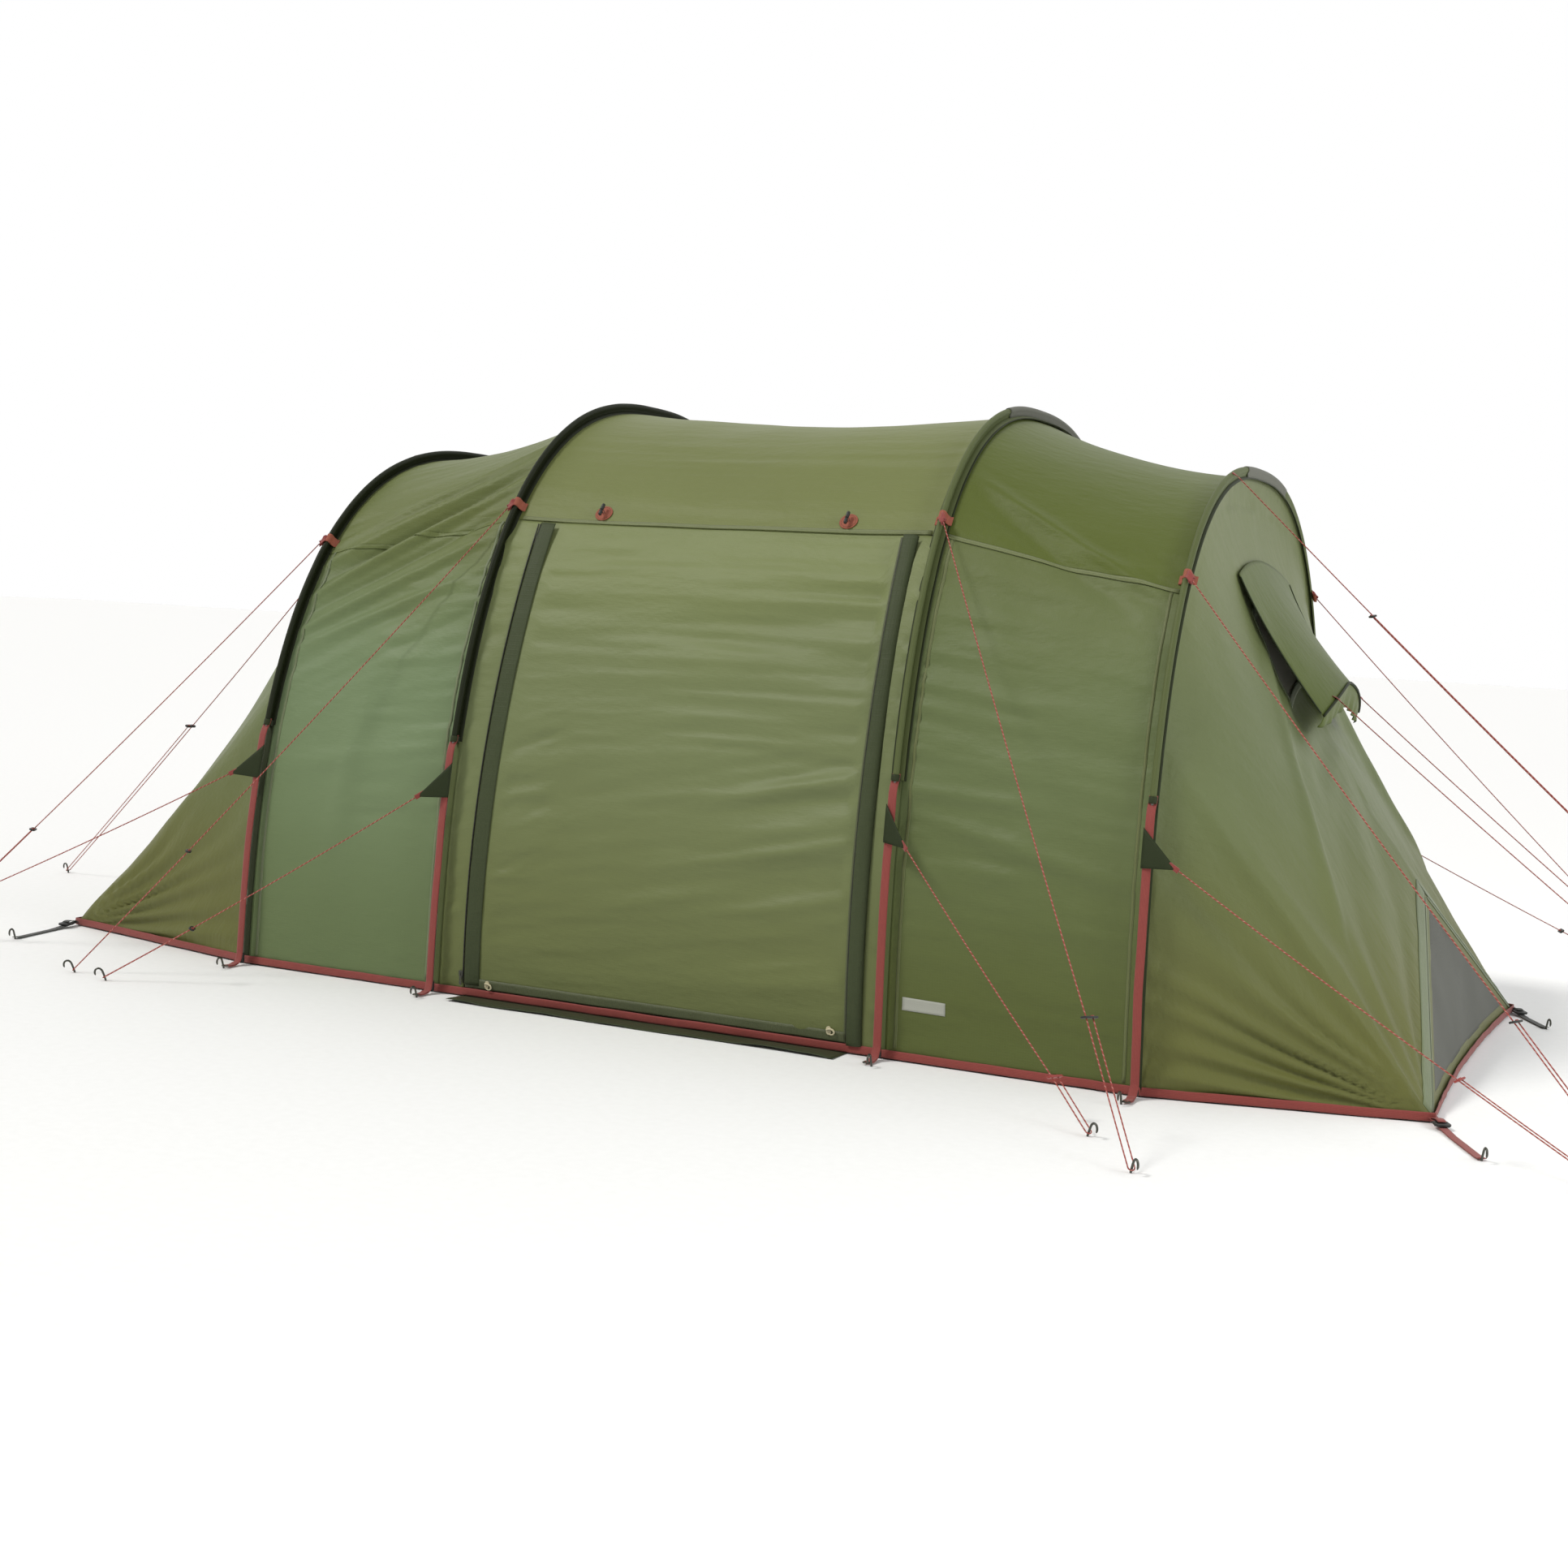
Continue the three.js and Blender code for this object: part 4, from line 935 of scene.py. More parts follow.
d += 0.006 * ripples(x, z, 0.032, 0.16, 0.35, 125) * window(x, 0, 0.18, 0.1) * window(z, 0.35, 0.7, 0.1)
d += 0.006 * smooth_noise(x / 0.5, z / 0.42, 127) + 0.0014 * ripples(x, z, 0.02, 0.25, 0.05, 128)
d += 0.0034 * ripples(x, z, 0.04, 0.8, 0.0, 129) * window(z, 0.95, 1.27, 0.05)
door = raised(door, rows, d * edge * minimum(1, (DOOR_TOP - z) / 0.02))
door = tuck_under(door, rows, 1.10, (ZIP_OFFSET + 1.11 * share) / DOOR_SPAN, 0.0013)
soft_sheet("cloth_door_panel", door, "door", held="hung", rests=["cloth_mid_roof"], body=DOOR_BEND,
           slot="fly_roof",
           stands_for="door_panel")

# ---------- poles and sleeves ----------
POLE_RADIUS, POLE_STEP, SLEEVE_END, SIDEWAYS = 0.00475, 0.022, 0.675, (1, 0, 0)
FERRULES = ((0.17, 0.215), (0.47, 0.515))
FERRULE_RADII = [0.0049, 0.0057, 0.0057, 0.0057, 0.0057, 0.0049]
SLEEVE_TONES = ("sleeve_dark", "sleeve_dark", "sleeve_olive", "sleeve_olive")
FLANGE_TONES = ("sleeve_dark", "sleeve_dark", "sleeve_olive", "binding")
LEG_TONES = ("binding", "sleeve_olive", "sleeve_olive", "binding")
FLANGE_WIDTHS = (0.0125, 0.0125, 0.017, 0.009)
# for sleeves 3 and 4: the angles, in degrees, of a grey painted highlight over the sleeve's top
APEX_HIGHLIGHTS = {2: (79, 105), 3: (84, 102)}
SLEEVE_LEG = [(0.0016, -0.0192), (0.0018, -0.014), (0.0046, -0.0075)]
APEX_LEG = [(0.0060, -0.0225), (0.0050, -0.010)]


def round_outline(leg, radius, past, count):
    """A sleeve's section: round over the pole, past level by that angle, with the same leg on each side."""
    return leg + arc(radius, -past, math.pi + past, count) + other_half(leg)


def strip_along(arch, t, xs, inset, lift):
    """A strip along an arch at an inset. lift gives each of its lines a height over that, from its x."""
    return stack([arch_point(arch, t, inset, x) + arch_normal(arch, t) * lift(x)[:, None] for x in xs], 1)


for i, arch in enumerate(ARCHES):
    number, wide = i + 1, FLANGE_WIDTHS[i]
    foot, end = angle_at(arch, HEM_LOW), angle_at(arch, SLEEVE_END)
    t = even_angles(arch, foot, math.pi - foot, POLE_STEP)
    tube_mesh(f"tube_pole_{number}", arch_point(arch, t), POLE_RADIUS, "pole", 16, side_axis=SIDEWAYS,
              stands_for=f"pole_{number}")
    leg = even_angles(arch, angle_at(arch, 0.012), end, 0.02)
    for sign, where in BOTH_SIDES:
        for k, (low, high) in enumerate(FERRULES):
            turns = linspace(angle_at(arch, low), angle_at(arch, high), 6)
            tube_mesh(f"ferrule_{number}_{k}_{where}",
                      arch_point(arch, turns if sign < 0 else math.pi - turns),
                      FERRULE_RADII, "ferrule", 16, side_axis=SIDEWAYS)
        # the seam goes on under the bare pole, down to the hem
        strip = strip_along(arch, leg if sign < 0 else math.pi - leg[::-1], linspace(-0.009, 0.009, 5),
                            INSET - 0.0036,
                            lambda x: 0 * leg)
        sheet_mesh(f"leg_seam_{number}_{where}", strip, LEG_TONES[i], 0.001)

    t = even_angles(arch, end, math.pi - end, 0.018)
    walk, rise = side_walk(arch, t), np.sin(t) ** 4
    pucker = 0.0009 * smooth_noise(walk / 0.05, 0.5 * i, 131)
    rings = stack([
        arch_point(arch, t, -off, x) + arch_normal(arch, t) * (pucker * (0.4 + 30 * abs(x)))[:, None]
        for x, off in round_outline(SLEEVE_LEG, 0.0078, 0.5, 11)
    ], 1)
    soft_sheet(f"cloth_sleeve_{number}", rings, SLEEVE_TONES[i], rests=[f"pole_{number}"], thick=0.0007,
               flip=-1,
               wrap=True, stands_for=f"sleeve_{number}")
    flange = strip_along(arch, t, linspace(-wide, wide, 9), 0.0170, lambda x: (
        0.0006 * smooth_noise(walk / 0.035, 40 * x, 133) - (0.0036 + 0.0032 * rise) * (x / wide) ** 2))
    sheet_mesh(f"sleeve_flange_{number}", flange, FLANGE_TONES[i], 0.001)
    if i == 2:
        for side, name in BOTH_ENDS:
            middle, half_tape = side * wide, 0.0032
            line = strip_along(arch, t, middle + linspace(-half_tape, half_tape, 5), 0.0198, lambda x: (
                0.0012 * (1 - ((x - middle) / half_tape) ** 2) - 0.0030 * rise))
            sheet_mesh(f"sleeve_binding_{number}_{name}", line, "binding", 0.001, slot="sleeve_dark")
    # a grey cap over the sleeve's top is painted highlight, not a piece of the tent's cloth
    if i in APEX_HIGHLIGHTS:
        highlight_turns = even_angles(arch, *[math.radians(a) for a in APEX_HIGHLIGHTS[i]], 0.012)
        highlight_cap = arch_section(arch, highlight_turns, round_outline(APEX_LEG, 0.0093, 0.3, 11))
        sheet_mesh(f"apex_highlight_{number}", highlight_cap, "apex", flip=-1)

# ---------- seams on the fly ----------
def crowned_sheet(name, strip, out, lift, crown, material):
    """A tape sewn on cloth, lifted off it and a little higher along its middle."""
    across = linspace(-1, 1, strip.shape[1])
    sheet_mesh(name, strip + out * (lift + crown * (1 - across**2))[None, :, None], material, 0.0009)


for k, bay in enumerate(BAYS):
    span = ARCHES[k + 1][0] - ARCHES[k][0]
    shares = linspace(0.02, 0.98, int(round(span / 0.02)) + 1)[:, None]
    for seam, where in ((SEAM, "near"), (math.pi - SEAM, "far")):
        # over the door the tape lies only above the seam, so that the door's top stays free
        over_door = bay == "mid" and where == "near"
        turns = seam + linspace(*((0.0, 0.0104) if over_door else (-0.0052, 0.0052)), 5)[None]
        strip, out = bay_at(k, turns, shares)
        crowned_sheet(f"seam_{bay}_{where}", strip, out, 0.0006 if over_door or bay == "left" else 0.0012,
                      0.0002 if bay == "left" else 0.0006, "roof_left" if bay == "left" else "seam_roof")
    # a fell seam beside each arch, from the roof down to the hem
    for at, side in ((0.034, "left"), (span - 0.034, "right")):
        for sign, where in BOTH_SIDES if bay != "mid" else ():
            turns = even_angles(ARCHES[1], angle_at(ARCHES[1], 0.03), SEAM, 0.02)[:, None]
            strip, out = bay_at(k, turns if sign < 0 else math.pi - turns,
                                (at + linspace(-0.004, 0.004, 4))[None] / span)
            crowned_sheet(f"side_seam_{bay}_{side}_{where}", strip, out, 0.001, 0.0003,
                          "seam_left" if bay == "left" else "seam_right")

# the seam from each ground corner up to the nose, and the tape along the triangle below it
rise = linspace(0.02, 0.97, 30)[:, None]
for side, name in BOTH_ENDS:
    for sign, where in BOTH_SIDES:
        turns = linspace(CORNER + 0.01, HALF - 0.004, 41)[:, None]
        rim, out = end_at(side, turns if sign < 0 else math.pi - turns, linspace(0.965, 0.999, 5)[None])
        sheet_mesh(f"nose_seam_{name}_{where}", rim + out * 0.0014, "seam_left", 0.0012, flip=side)
        y = sign * (CORNER_Y * (1 - rise) - linspace(0.001, 0.020, 5)[None])
        strip = triangle_point(side, y, rise + 0 * y) + (side * 0.0018, 0, 0)
        sheet_mesh(f"nose_tape_{name}_{where}", strip, "seam_left", 0.0011, flip=-side * sign)


# ---------- hem webbing right round the tent ----------
def hem_path(offset):
    """The ground line of the fly, once round, moved out by an offset."""
    bow = linspace(-1, 1, 41)[1:-1]
    corner = array([CORNER_X, -CORNER_Y])
    near = [corner * (-1, 1)] + [arch_point(a, angle_at(a, HEM_LOW), INSET)[:2] for a in ARCHES] + [corner]
    keys = near + [array([CORNER_X - 0.025 * (1 - b * b), CORNER_Y * b]) for b in bow]
    keys += [p * (1, -1) for p in near[::-1]]
    keys += [array([-CORNER_X + 0.025 * (1 - b * b), -CORNER_Y * b]) for b in bow]
    line = []
    for p, q in zip(keys, keys[1:] + keys[:1]):
        count = max(1, int(round(np.linalg.norm(q - p) / 0.022)))
        line += [p + (q - p) * s for s in np.arange(count) / count]
    line = array(line)
    tangent = unit(np.roll(line, -1, 0) - np.roll(line, 1, 0))
    return line + stack([tangent[:, 1], -tangent[:, 0]], -1) * offset


HEM_ROWS = ((0.0035, 0.0), (0.0075, 0.0006), (0.0115, 0.0009), (0.0155, 0.0009), (0.0195, 0.0006),
            (0.0235, 0.0))
line = hem_path(0.0026)
outward = (hem_path(0.0126) - line) / 0.01
lap = np.arange(len(line)) * 64 / len(line)
band = []
for height, bulge in HEM_ROWS:
    push = 0.0012 * smooth_noise(lap * 4, height * 40, 141) + bulge
    z = height + 0.0011 * smooth_noise(lap * 3, 0.5, 142)
    band.append(concatenate([line + outward * push[:, None], z[:, None]], -1))
sheet_mesh("hem_webbing", stack(band), "webbing", 0.0016, flip=-1, wrap=True, turned=True)


# ---------- the door's hem, zips and hooks ----------
def door_point(x, z, out=0.0):
    """A point on the door, at a distance x from its left zip and out from its face."""
    z = np.asarray(z, float)
    a = zip_line(ARCHES[1], ZIP_OFFSET + ZIP_GAP / 2, z)
    b = zip_line(ARCHES[2], -ZIP_OFFSET - ZIP_GAP / 2, z)
    share = np.asarray(x, float) / (b[..., 0] - a[..., 0])
    return a + (b - a) * share[..., None] + zip_normal(z) * np.asarray(out)[..., None]


x, z = np.meshgrid(linspace(0.002, 1.104, 90), array([0.0262, 0.030, 0.036, 0.044, 0.052]))
hem_wave = 0.0016 * smooth_noise(x / 0.07, z / 0.1, 151) * minimum(1, minimum(x, 1.106 - x) / 0.04)
sheet_mesh("door_hem", door_point(x, z, 0.0024 + hem_wave), "door_hem", 0.0012, body=DOOR_BEND,
           slot="fly_roof")
z_zip = linspace(0.036, 1.262, 160)
coil_radius = 0.0017 + 0.0003 * (np.arange(160) % 2)
for name, index in DOOR_ENDS:
    side = 1 if name == "left" else -1
    for part, offset, body in (("fixed", -0.0032, "root"), ("moving", 0.0032, DOOR_BEND)):
        line = zip_line(ARCHES[index], side * (ZIP_OFFSET + offset), z_zip) + zip_normal(z_zip) * 0.0022
        tube_mesh(f"zip_coil_{name}_{part}", line, coil_radius, "plastic", 8, side_axis=SIDEWAYS, body=body)
tape = stack([zip_line(ARCHES[2], -ZIP_OFFSET - offset, z_zip) for offset in linspace(0.005, 0.010, 4)], 1)
tape = raised(tape, z_zip, np.full((160, 4), 0.0018))
sheet_mesh("zip_tape_right", tape, "door_hem", flip=-1, body=DOOR_BEND)

# the inner mud walls at the foot of the door and of the far wall
x, z = np.meshgrid(linspace(-0.55, 0.71, 100), linspace(0.0042, 0.075, 8), indexing="ij")
for where, wall_y, slope, seed in (("near", -0.984, 0.12, 152), ("far", 0.957, 0.25, 153)):
    wavy = wall_y + 0.004 * smooth_noise(x / 0.09, z / 0.05, seed) + slope * (z - 0.004)
    sheet_mesh(f"mud_wall_{where}", stack([x, wavy, z], -1), "mud_wall", flip=-1)

HOOK = [(-0.011, 0.004, 0), (-0.004, 0.006, 0), (0.006, 0.004, 0), (0.010, -0.003, 0.001),
        (0.004, -0.008, 0.002),
        (-0.003, -0.006, 0.002)]
for name, x0, z0, tilt in (("left", 0.077, 0.037, -0.15), ("right", 1.064, 0.050, 0.12)):
    seat = basis((1, 0, tilt), (0, 0, 1), door_point(x0, z0, 0.0075))
    tube_mesh(f"hem_hook_{name}", [seat @ Vector(p) for p in spline(HOOK, 26)], linspace(0.0030, 0.0018, 26),
              "plastic_pale", 10, flat=0.7, body="door")
    plate_mesh(f"hem_hook_plate_{name}", rounded_bar(0.020, 0.011), [circle(0.0018, 10, (0, 0.005))], 0.0026,
               0.0009,
               seat @ Matrix.Translation((-0.006, 0.002, -0.003)), "plastic_pale", body="door")

# ---------- sliders ----------
SLIDER_HALF = [(0.0030, -0.009), (0.0052, -0.004), (0.0060, 0.003), (0.0058, 0.008), (0.0025, 0.009)]
SLIDER_SHAPE = SLIDER_HALF + [(0, 0.0065)] + other_half(SLIDER_HALF)
SLIDER_BRIDGE = spline([(0, 0.006, 0.0016), (0, 0.004, 0.0030), (0, -0.001, 0.0032), (0, -0.004, 0.0016)], 14)
SLIDER_OFFSET, SLIDER_Z = 0.081, array(0.060)
for name, index in DOOR_ENDS:
    ends = [zip_line(ARCHES[index], (1 if name == "left" else -1) * SLIDER_OFFSET,
                     z) for z in (SLIDER_Z, SLIDER_Z + 0.01)]
    n = Vector(zip_normal(SLIDER_Z))
    along = Vector(ends[1] - ends[0]).normalized()
    seat = basis(along.cross(n), along, Vector(ends[0]) + n * 0.0041)
    body = f"slider_{name}"
    for part, thick, bevel, off, node in (("wings", 0.0016, 0.0005, 0.0011, f"zip_slider_{name}"),
                                          ("back", 0.0013, 0.0004, -0.0012, None)):
        plate_mesh(f"{body}_{part}", SLIDER_SHAPE, [], thick, bevel, seat @ Matrix.Translation((0, 0, off)),
                   "steel",
                   body=body, stands_for=node)
    tube_mesh(f"{body}_bridge", [seat @ Vector(p) for p in SLIDER_BRIDGE], 0.0009, "steel", 8, flat=1.6,
              body=body)
    plate_mesh(f"{body}_pull", rounded_bar(0.026, 0.0065),
               [circle(0.0014, 10, (0, 0.0098)), rounded_bar(0.009, 0.0030, 5)],
               0.0014, 0.0005, seat @ Matrix.Translation((0, -0.0165, 0.0022)), "steel", body=body)

# ---------- the door's roll-up toggles ----------
TOGGLE_T, TOGGLE_HALF, TOGGLE_OFFSET = SEAM + 0.055 / 1.65, 0.019, 0.262
TOGGLE_ENDS = ((1, 0.0022), (0.94, 0.0040), (0.8, 0.0049), (0.5, 0.0050), (0.22, 0.0046), (0.1, 0.0034))
TOGGLE_BAR = [(-s, r) for s, r in TOGGLE_ENDS] + list(TOGGLE_ENDS[::-1])
# rings of the round patch under a toggle: radius, and height over the roof
PATCH_RINGS = array([(0.0245, 0.0014), (0.0235, 0.0022), (0.019, 0.0024), (0.012, 0.0024), (0.0055, 0.0026),
                     (0.0008, 0.0030)])
turns = np.arange(40) * TURN / 40
left_x, right_x = (float(arch_point(a, TOGGLE_T)[0]) for a in ARCHES[1:3])
roof_span, girth = right_x - left_x, metres_per_turn(ARCHES[1], TOGGLE_T)
for name, index in DOOR_ENDS:
    arch, side = ARCHES[index], 1 if name == "left" else -1
    place = Vector(arch_point(arch, TOGGLE_T, 0.014, side * TOGGLE_OFFSET))
    n = Vector(arch_normal(arch, array(TOGGLE_T)))
    seat = basis(SIDEWAYS, Vector(SIDEWAYS).cross(n), place)
    tube_mesh(f"toggle_bar_{name}", [seat @ Vector((0, s * TOGGLE_HALF, 0)) for s, r in TOGGLE_BAR],
              [r for s, r in TOGGLE_BAR], "plastic", 16, body=f"toggle_{name}",
              stands_for=f"door_toggle_{name}")
    # the red patch sewn on the roof under it, its stitches and the elastic loop
    centre = (place.x - left_x) / roof_span
    radii, heights = PATCH_RINGS[:, 0, None], PATCH_RINGS[:, 1, None, None]
    disc, out = bay_at(1, TOGGLE_T + np.sin(turns)[None] * radii / girth,
                       centre + np.cos(turns)[None] * radii / roof_span)
    sheet_mesh(f"toggle_patch_{name}", disc + out * heights, "patch_red", 0.0011, flip=-1, wrap=True)
    ring, out = bay_at(1, TOGGLE_T + np.sin(turns) * 0.020 / girth,
                       centre + np.cos(turns) * 0.020 / roof_span)
    ring = ring + out * 0.0029
    tube_mesh(f"toggle_stitch_{name}", concatenate([ring, ring[:1]]), 0.0006 + 0.0003 * (np.arange(41) % 2),
              "binding", 6,
              slot="webbing")
    middle, out = bay_at(1, array(TOGGLE_T), array(centre))
    sewn, beside, over = middle + out * 0.002, middle + out * 0.006, array((0.0045, 0, 0))
    loop = spline([sewn, beside + (0.003, 0, 0), place + Vector(over), place + n * 0.0055,
                   place - Vector(over),
                   beside - (0.003, 0, 0), sewn], 30)
    tube_mesh(f"toggle_elastic_{name}", loop, 0.0009, "webbing_dark", 8, slot="cord")

# ---------- pole feet, foot straps and their pegs ----------
PEG_SHAPE = ((0, 0.0002), (0.003, 0.009), (0.007, 0.019), (0.011, 0.027), (0.018, 0.0315), (0.026, 0.029),
             (0.029, 0.021), (0.027, 0.013))
PEG_RADII = [0.0026] * 27 + [0.0024, 0.0019, 0.0010]
PEG_TURNS = (0, 0.012, 0.03, -0.02)
FOOT_RADII = [0.0062, 0.0078, 0.0080, 0.0080, 0.0072, 0.0072, 0.0072, 0.0068, 0.0058]
# The strap's way from the pole's foot out to its peg, and its folded end, as (y, z).
STRAP_FOOT = ((-1.0375, 0.022), (-1.0430, 0.012), (-1.0530, 0.0055), (-1.066, 0.0036), (-1.080, 0.0036),
              (-1.092, 0.0046))
STRAP_FOLD = ((-1.088, 0.0076), (-1.074, 0.0064), (-1.062, 0.0072), (-1.053, 0.0105))


def peg_mesh(name, x, y, away):
    """A wire peg driven in at a slant: its hook faces away from the tent."""
    away = Vector((away[0], away[1], 0)).normalized()
    path = spline([Vector((x, y, 0)) + away * a + Vector((0, 0, b)) for a, b in PEG_SHAPE], 30)
    tube_mesh(name, path, PEG_RADII, "steel", 12)


for i, arch in enumerate(ARCHES):
    rows = even_angles(arch, angle_at(arch, 0.034), angle_at(arch, 0.690), 0.016)[::-1]
    tucked = ramp(arch_point(arch, rows)[:, 2], 0.652, 0.682)
    down = arch_point(arch, rows, -0.0086 + 0.0125 * tucked)
    foot_x = down[-1, 0]
    foot = spline([down[-1]] + [(foot_x, y, z) for y, z in STRAP_FOOT], 30)
    fold_path = spline([(foot_x, y, z) for y, z in STRAP_FOLD], 16)
    strap_path = concatenate([down[:-1], foot])
    steps = np.arange(len(strap_path))
    cup = arch_point(arch, linspace(angle_at(arch, 0.0052), angle_at(arch, 0.034), 9))
    cuff_t = linspace(angle_at(arch, SLEEVE_END - 0.004), angle_at(arch, SLEEVE_END + 0.012), 4)
    cuff = arch_section(arch, cuff_t, round_outline([(0.0052, -0.0192)], 0.0100, 0.4, 13))
    for sign, where in BOTH_SIDES:
        end = f"{i + 1}_{where}"
        sway = 0.0014 * smooth_noise(steps / 7, 3 * i + sign, 161) * minimum(1, steps / 8)
        path = strap_path * mirror_y(sign) + sway[:, None] * SIDEWAYS
        ribbon(f"strap_{end}", path, SIDEWAYS, 0.0205, 0.0015, columns=7, crown=0.0007 * sign,
               stands_for=f"foot_strap_{end}")
        ribbon(f"strap_fold_{end}", fold_path * mirror_y(sign), SIDEWAYS, 0.0198, 0.0014, columns=7)
        ring = [(foot_x + 0.0085 * math.cos(a), sign * 1.0955 + 0.0062 * math.sin(a),
                 0.0062) for a in linspace(0, TURN, 25)]
        tube_mesh(f"strap_ring_{end}", ring, 0.0016, "steel", 10, side_axis=(0, 0, 1))
        tube_mesh(f"pole_foot_{end}", cup * mirror_y(sign), FOOT_RADII, "plastic", 18, side_axis=SIDEWAYS)
        peg_mesh(f"foot_peg_{end}", foot_x + PEG_TURNS[i] * 0.5, sign * 1.1000, (PEG_TURNS[i], sign))
        # a sewn cuff closes the sleeve's end
        sheet_mesh(f"sleeve_cuff_{end}", cuff * mirror_y(sign), "binding", flip=sign, slot="webbing")

# ---------- corner straps, buckles and pegs ----------
# name, ground corner, peg, how far along the strap its buckle sits, and the webbing
CORNERS = (
    ("right_near", (1.990, -0.825), (2.128, -1.118), 0.058, "webbing"),
    ("right_far", (1.990, 0.825), (2.105, 0.600), 0.060, "webbing_dark"),
    ("left_near", (-1.990, -0.825), (-1.935, -1.130), 0.060, "webbing_dark"),
    ("left_far", (-1.990, 0.825), (-2.100, 1.080), 0.060, "webbing_dark"),
)
BUCKLE_HALF = [(0.016, -0.014), (0.017, 0.010), (0.012, 0.017)]
BUCKLE = BUCKLE_HALF + other_half(BUCKLE_HALF)
SLOT_HALF, SLOT_TALL = 0.0115, 0.0062
BUCKLE_SLOTS = [[(-SLOT_HALF, low), (SLOT_HALF, low), (SLOT_HALF, low + SLOT_TALL),
                 (-SLOT_HALF, low + SLOT_TALL)]
                for low in (-0.0105, -0.0008)]
for name, corner, peg, buckle_at, tone in CORNERS:
    corner, peg = array([*corner, 0.014]), array([*peg, 0.0060])
    way, length = unit(peg - corner), np.linalg.norm(peg - corner)
    flat_side = np.cross(way, (0, 0, 1))
    s = linspace(-0.012, length, 34)
    path = corner + way * s[:, None]
    path[:, 2] -= 0.0072 * np.sin(math.pi * clip(s / length, 0, 1)) ** 0.7
    path[:, 2] = np.maximum(path[:, 2], 0.0035)
    ribbon(f"corner_strap_{name}", path, flat_side, 0.020, 0.0015, tone, columns=7)
    at = corner + way * buckle_at
    plate_mesh(f"corner_buckle_{name}", BUCKLE, BUCKLE_SLOTS, 0.0058, 0.0014,
               basis(flat_side, way, at - (0, 0, 0.0008)),
               "plastic")
    tail = spline([at + way * 0.004 + (0, 0, 0.0045), at - way * 0.012 + (0, 0, 0.0062),
                   at - way * 0.034 + (0, 0, 0.003), at - way * 0.05 + flat_side * 0.006 + (0, 0, -0.001)],
                   16)
    tail[:, 2] = np.maximum(tail[:, 2], 0.006)
    ribbon(f"corner_tail_{name}", tail, flat_side, 0.019, 0.0013, tone)
    peg_mesh(f"corner_peg_{name}", peg[0], peg[1], way)

# ---------- ground sheet with its sill ----------
# The floor runs from x 0 to x 1 between the arches and from the door's foot to the far wall. The sill
# is wider and reaches out under the door.
FLOOR_X, SILL_X, FLOOR_Y, SILL_Y = (-0.475, 0.635), (-0.561, 0.721), 0.959, -1.088
xs = spaced([SILL_X[0], *FLOOR_X, SILL_X[1]], [5, 79, 5])
ys = spaced([SILL_Y, -FLOOR_Y, FLOOR_Y], [11, 119])
x, y = np.meshgrid(xs, ys)
crumple = 0.5 + 0.5 * smooth_noise(x / 0.11, y / 0.13, 171) + 0.35 * smooth_noise(x / 0.045, y / 0.04, 172)
at_hem = 1 - 0.92 * np.exp(-(((y + 1.003) / 0.016) ** 2))
z = 0.0014 + clip(crumple, 0, 1.4) * 0.0034 * at_hem * np.where(y < -1.02, 1.7, 1.0)
sheet = stack([x, y + np.where(y < -1.07, 0.006 * smooth_noise(x / 0.16, 0.5, 173), 0), z], -1)
mid_x, mid_y = (xs[1:] + xs[:-1]) / 2, (ys[1:] + ys[:-1]) / 2
keep = ((mid_x > FLOOR_X[0]) & (mid_x < FLOOR_X[1]))[None, :] | (mid_y > -FLOOR_Y)[:, None]
soft_sheet("floor_sheet", sheet, "floor_cloth", held="laid", keep=keep, stands_for="groundsheet")

# ---------- guy lines ----------
CORD_WIDTH, LOOP_RADIUS, RETURN_GAP = 0.003, 0.0075, 0.0155
UPPER_T, LOWER_Z, TOP_T = math.radians(48.5), 0.570, math.radians(76)
# What holds each kind of line: its length along the line.
LEADS = {"upper": 0.030, "lower": 0.092, "top": 0.012, "hood": 0.004}
# name, the peg's x and y, and how far down the line its tensioner sits
GUYS = [
    ("near_1_upper", -2.116, -1.300, 0.72), ("near_1_lower", -2.253, -1.300, 0.70),
    ("near_2_upper", -1.444, -1.408, 0.74), ("near_2_lower", -1.305, -1.442, 0.72),
    ("near_3_upper", 1.530, -1.668, 0.80), ("near_3_lower", 1.372, -1.435, 0.82),
    ("near_4_upper", 2.463, -1.300, 0.74), ("near_4_lower", 2.416, -1.300, 0.66),
    ("far_1_upper", -2.116, 1.300, 0.72), ("far_1_lower", -2.253, 1.300, 0.70),
    ("far_2_upper", -1.370, 1.430, 0.74), ("far_2_lower", -1.240, 1.430, 0.72),
    ("far_3_upper", 1.530, 1.430, 0.80), ("far_3_lower", 1.372, 1.420, 0.80),
    ("far_4_upper", 2.463, 1.300, 0.74), ("far_4_lower", 2.480, 1.400, 0.62),
    ("top_1", -2.820, 0.0, 0.60), ("top_4", 2.860, 0.300, 0.22),
    ("hood_near", 2.700, 0.180, 0.72), ("hood_far", 2.650, 0.620, 0.72),
]
RED_TENSIONERS = ("near_4_lower", "near_3_lower")
TENSIONER_HOLES = [circle(0.0023, 12, (0, y)) for y in (RETURN_GAP / 2, -RETURN_GAP / 2)]
HOOD_WAY = array([0.92, 0, 0.39])


def hood_point(across, along):
    across, along = np.broadcast_arrays(np.asarray(across, float), np.asarray(along, float))
    share = HOOD_TOP + (HOOD_BOTTOM - HOOD_TOP) * along
    off = HOOD_BASE + HOOD_LIFT * along * (1 - 0.45 * across**2)
    return end_base(1, HALF + across * HOOD_HALF, share) + HOOD_WAY * off[..., None]


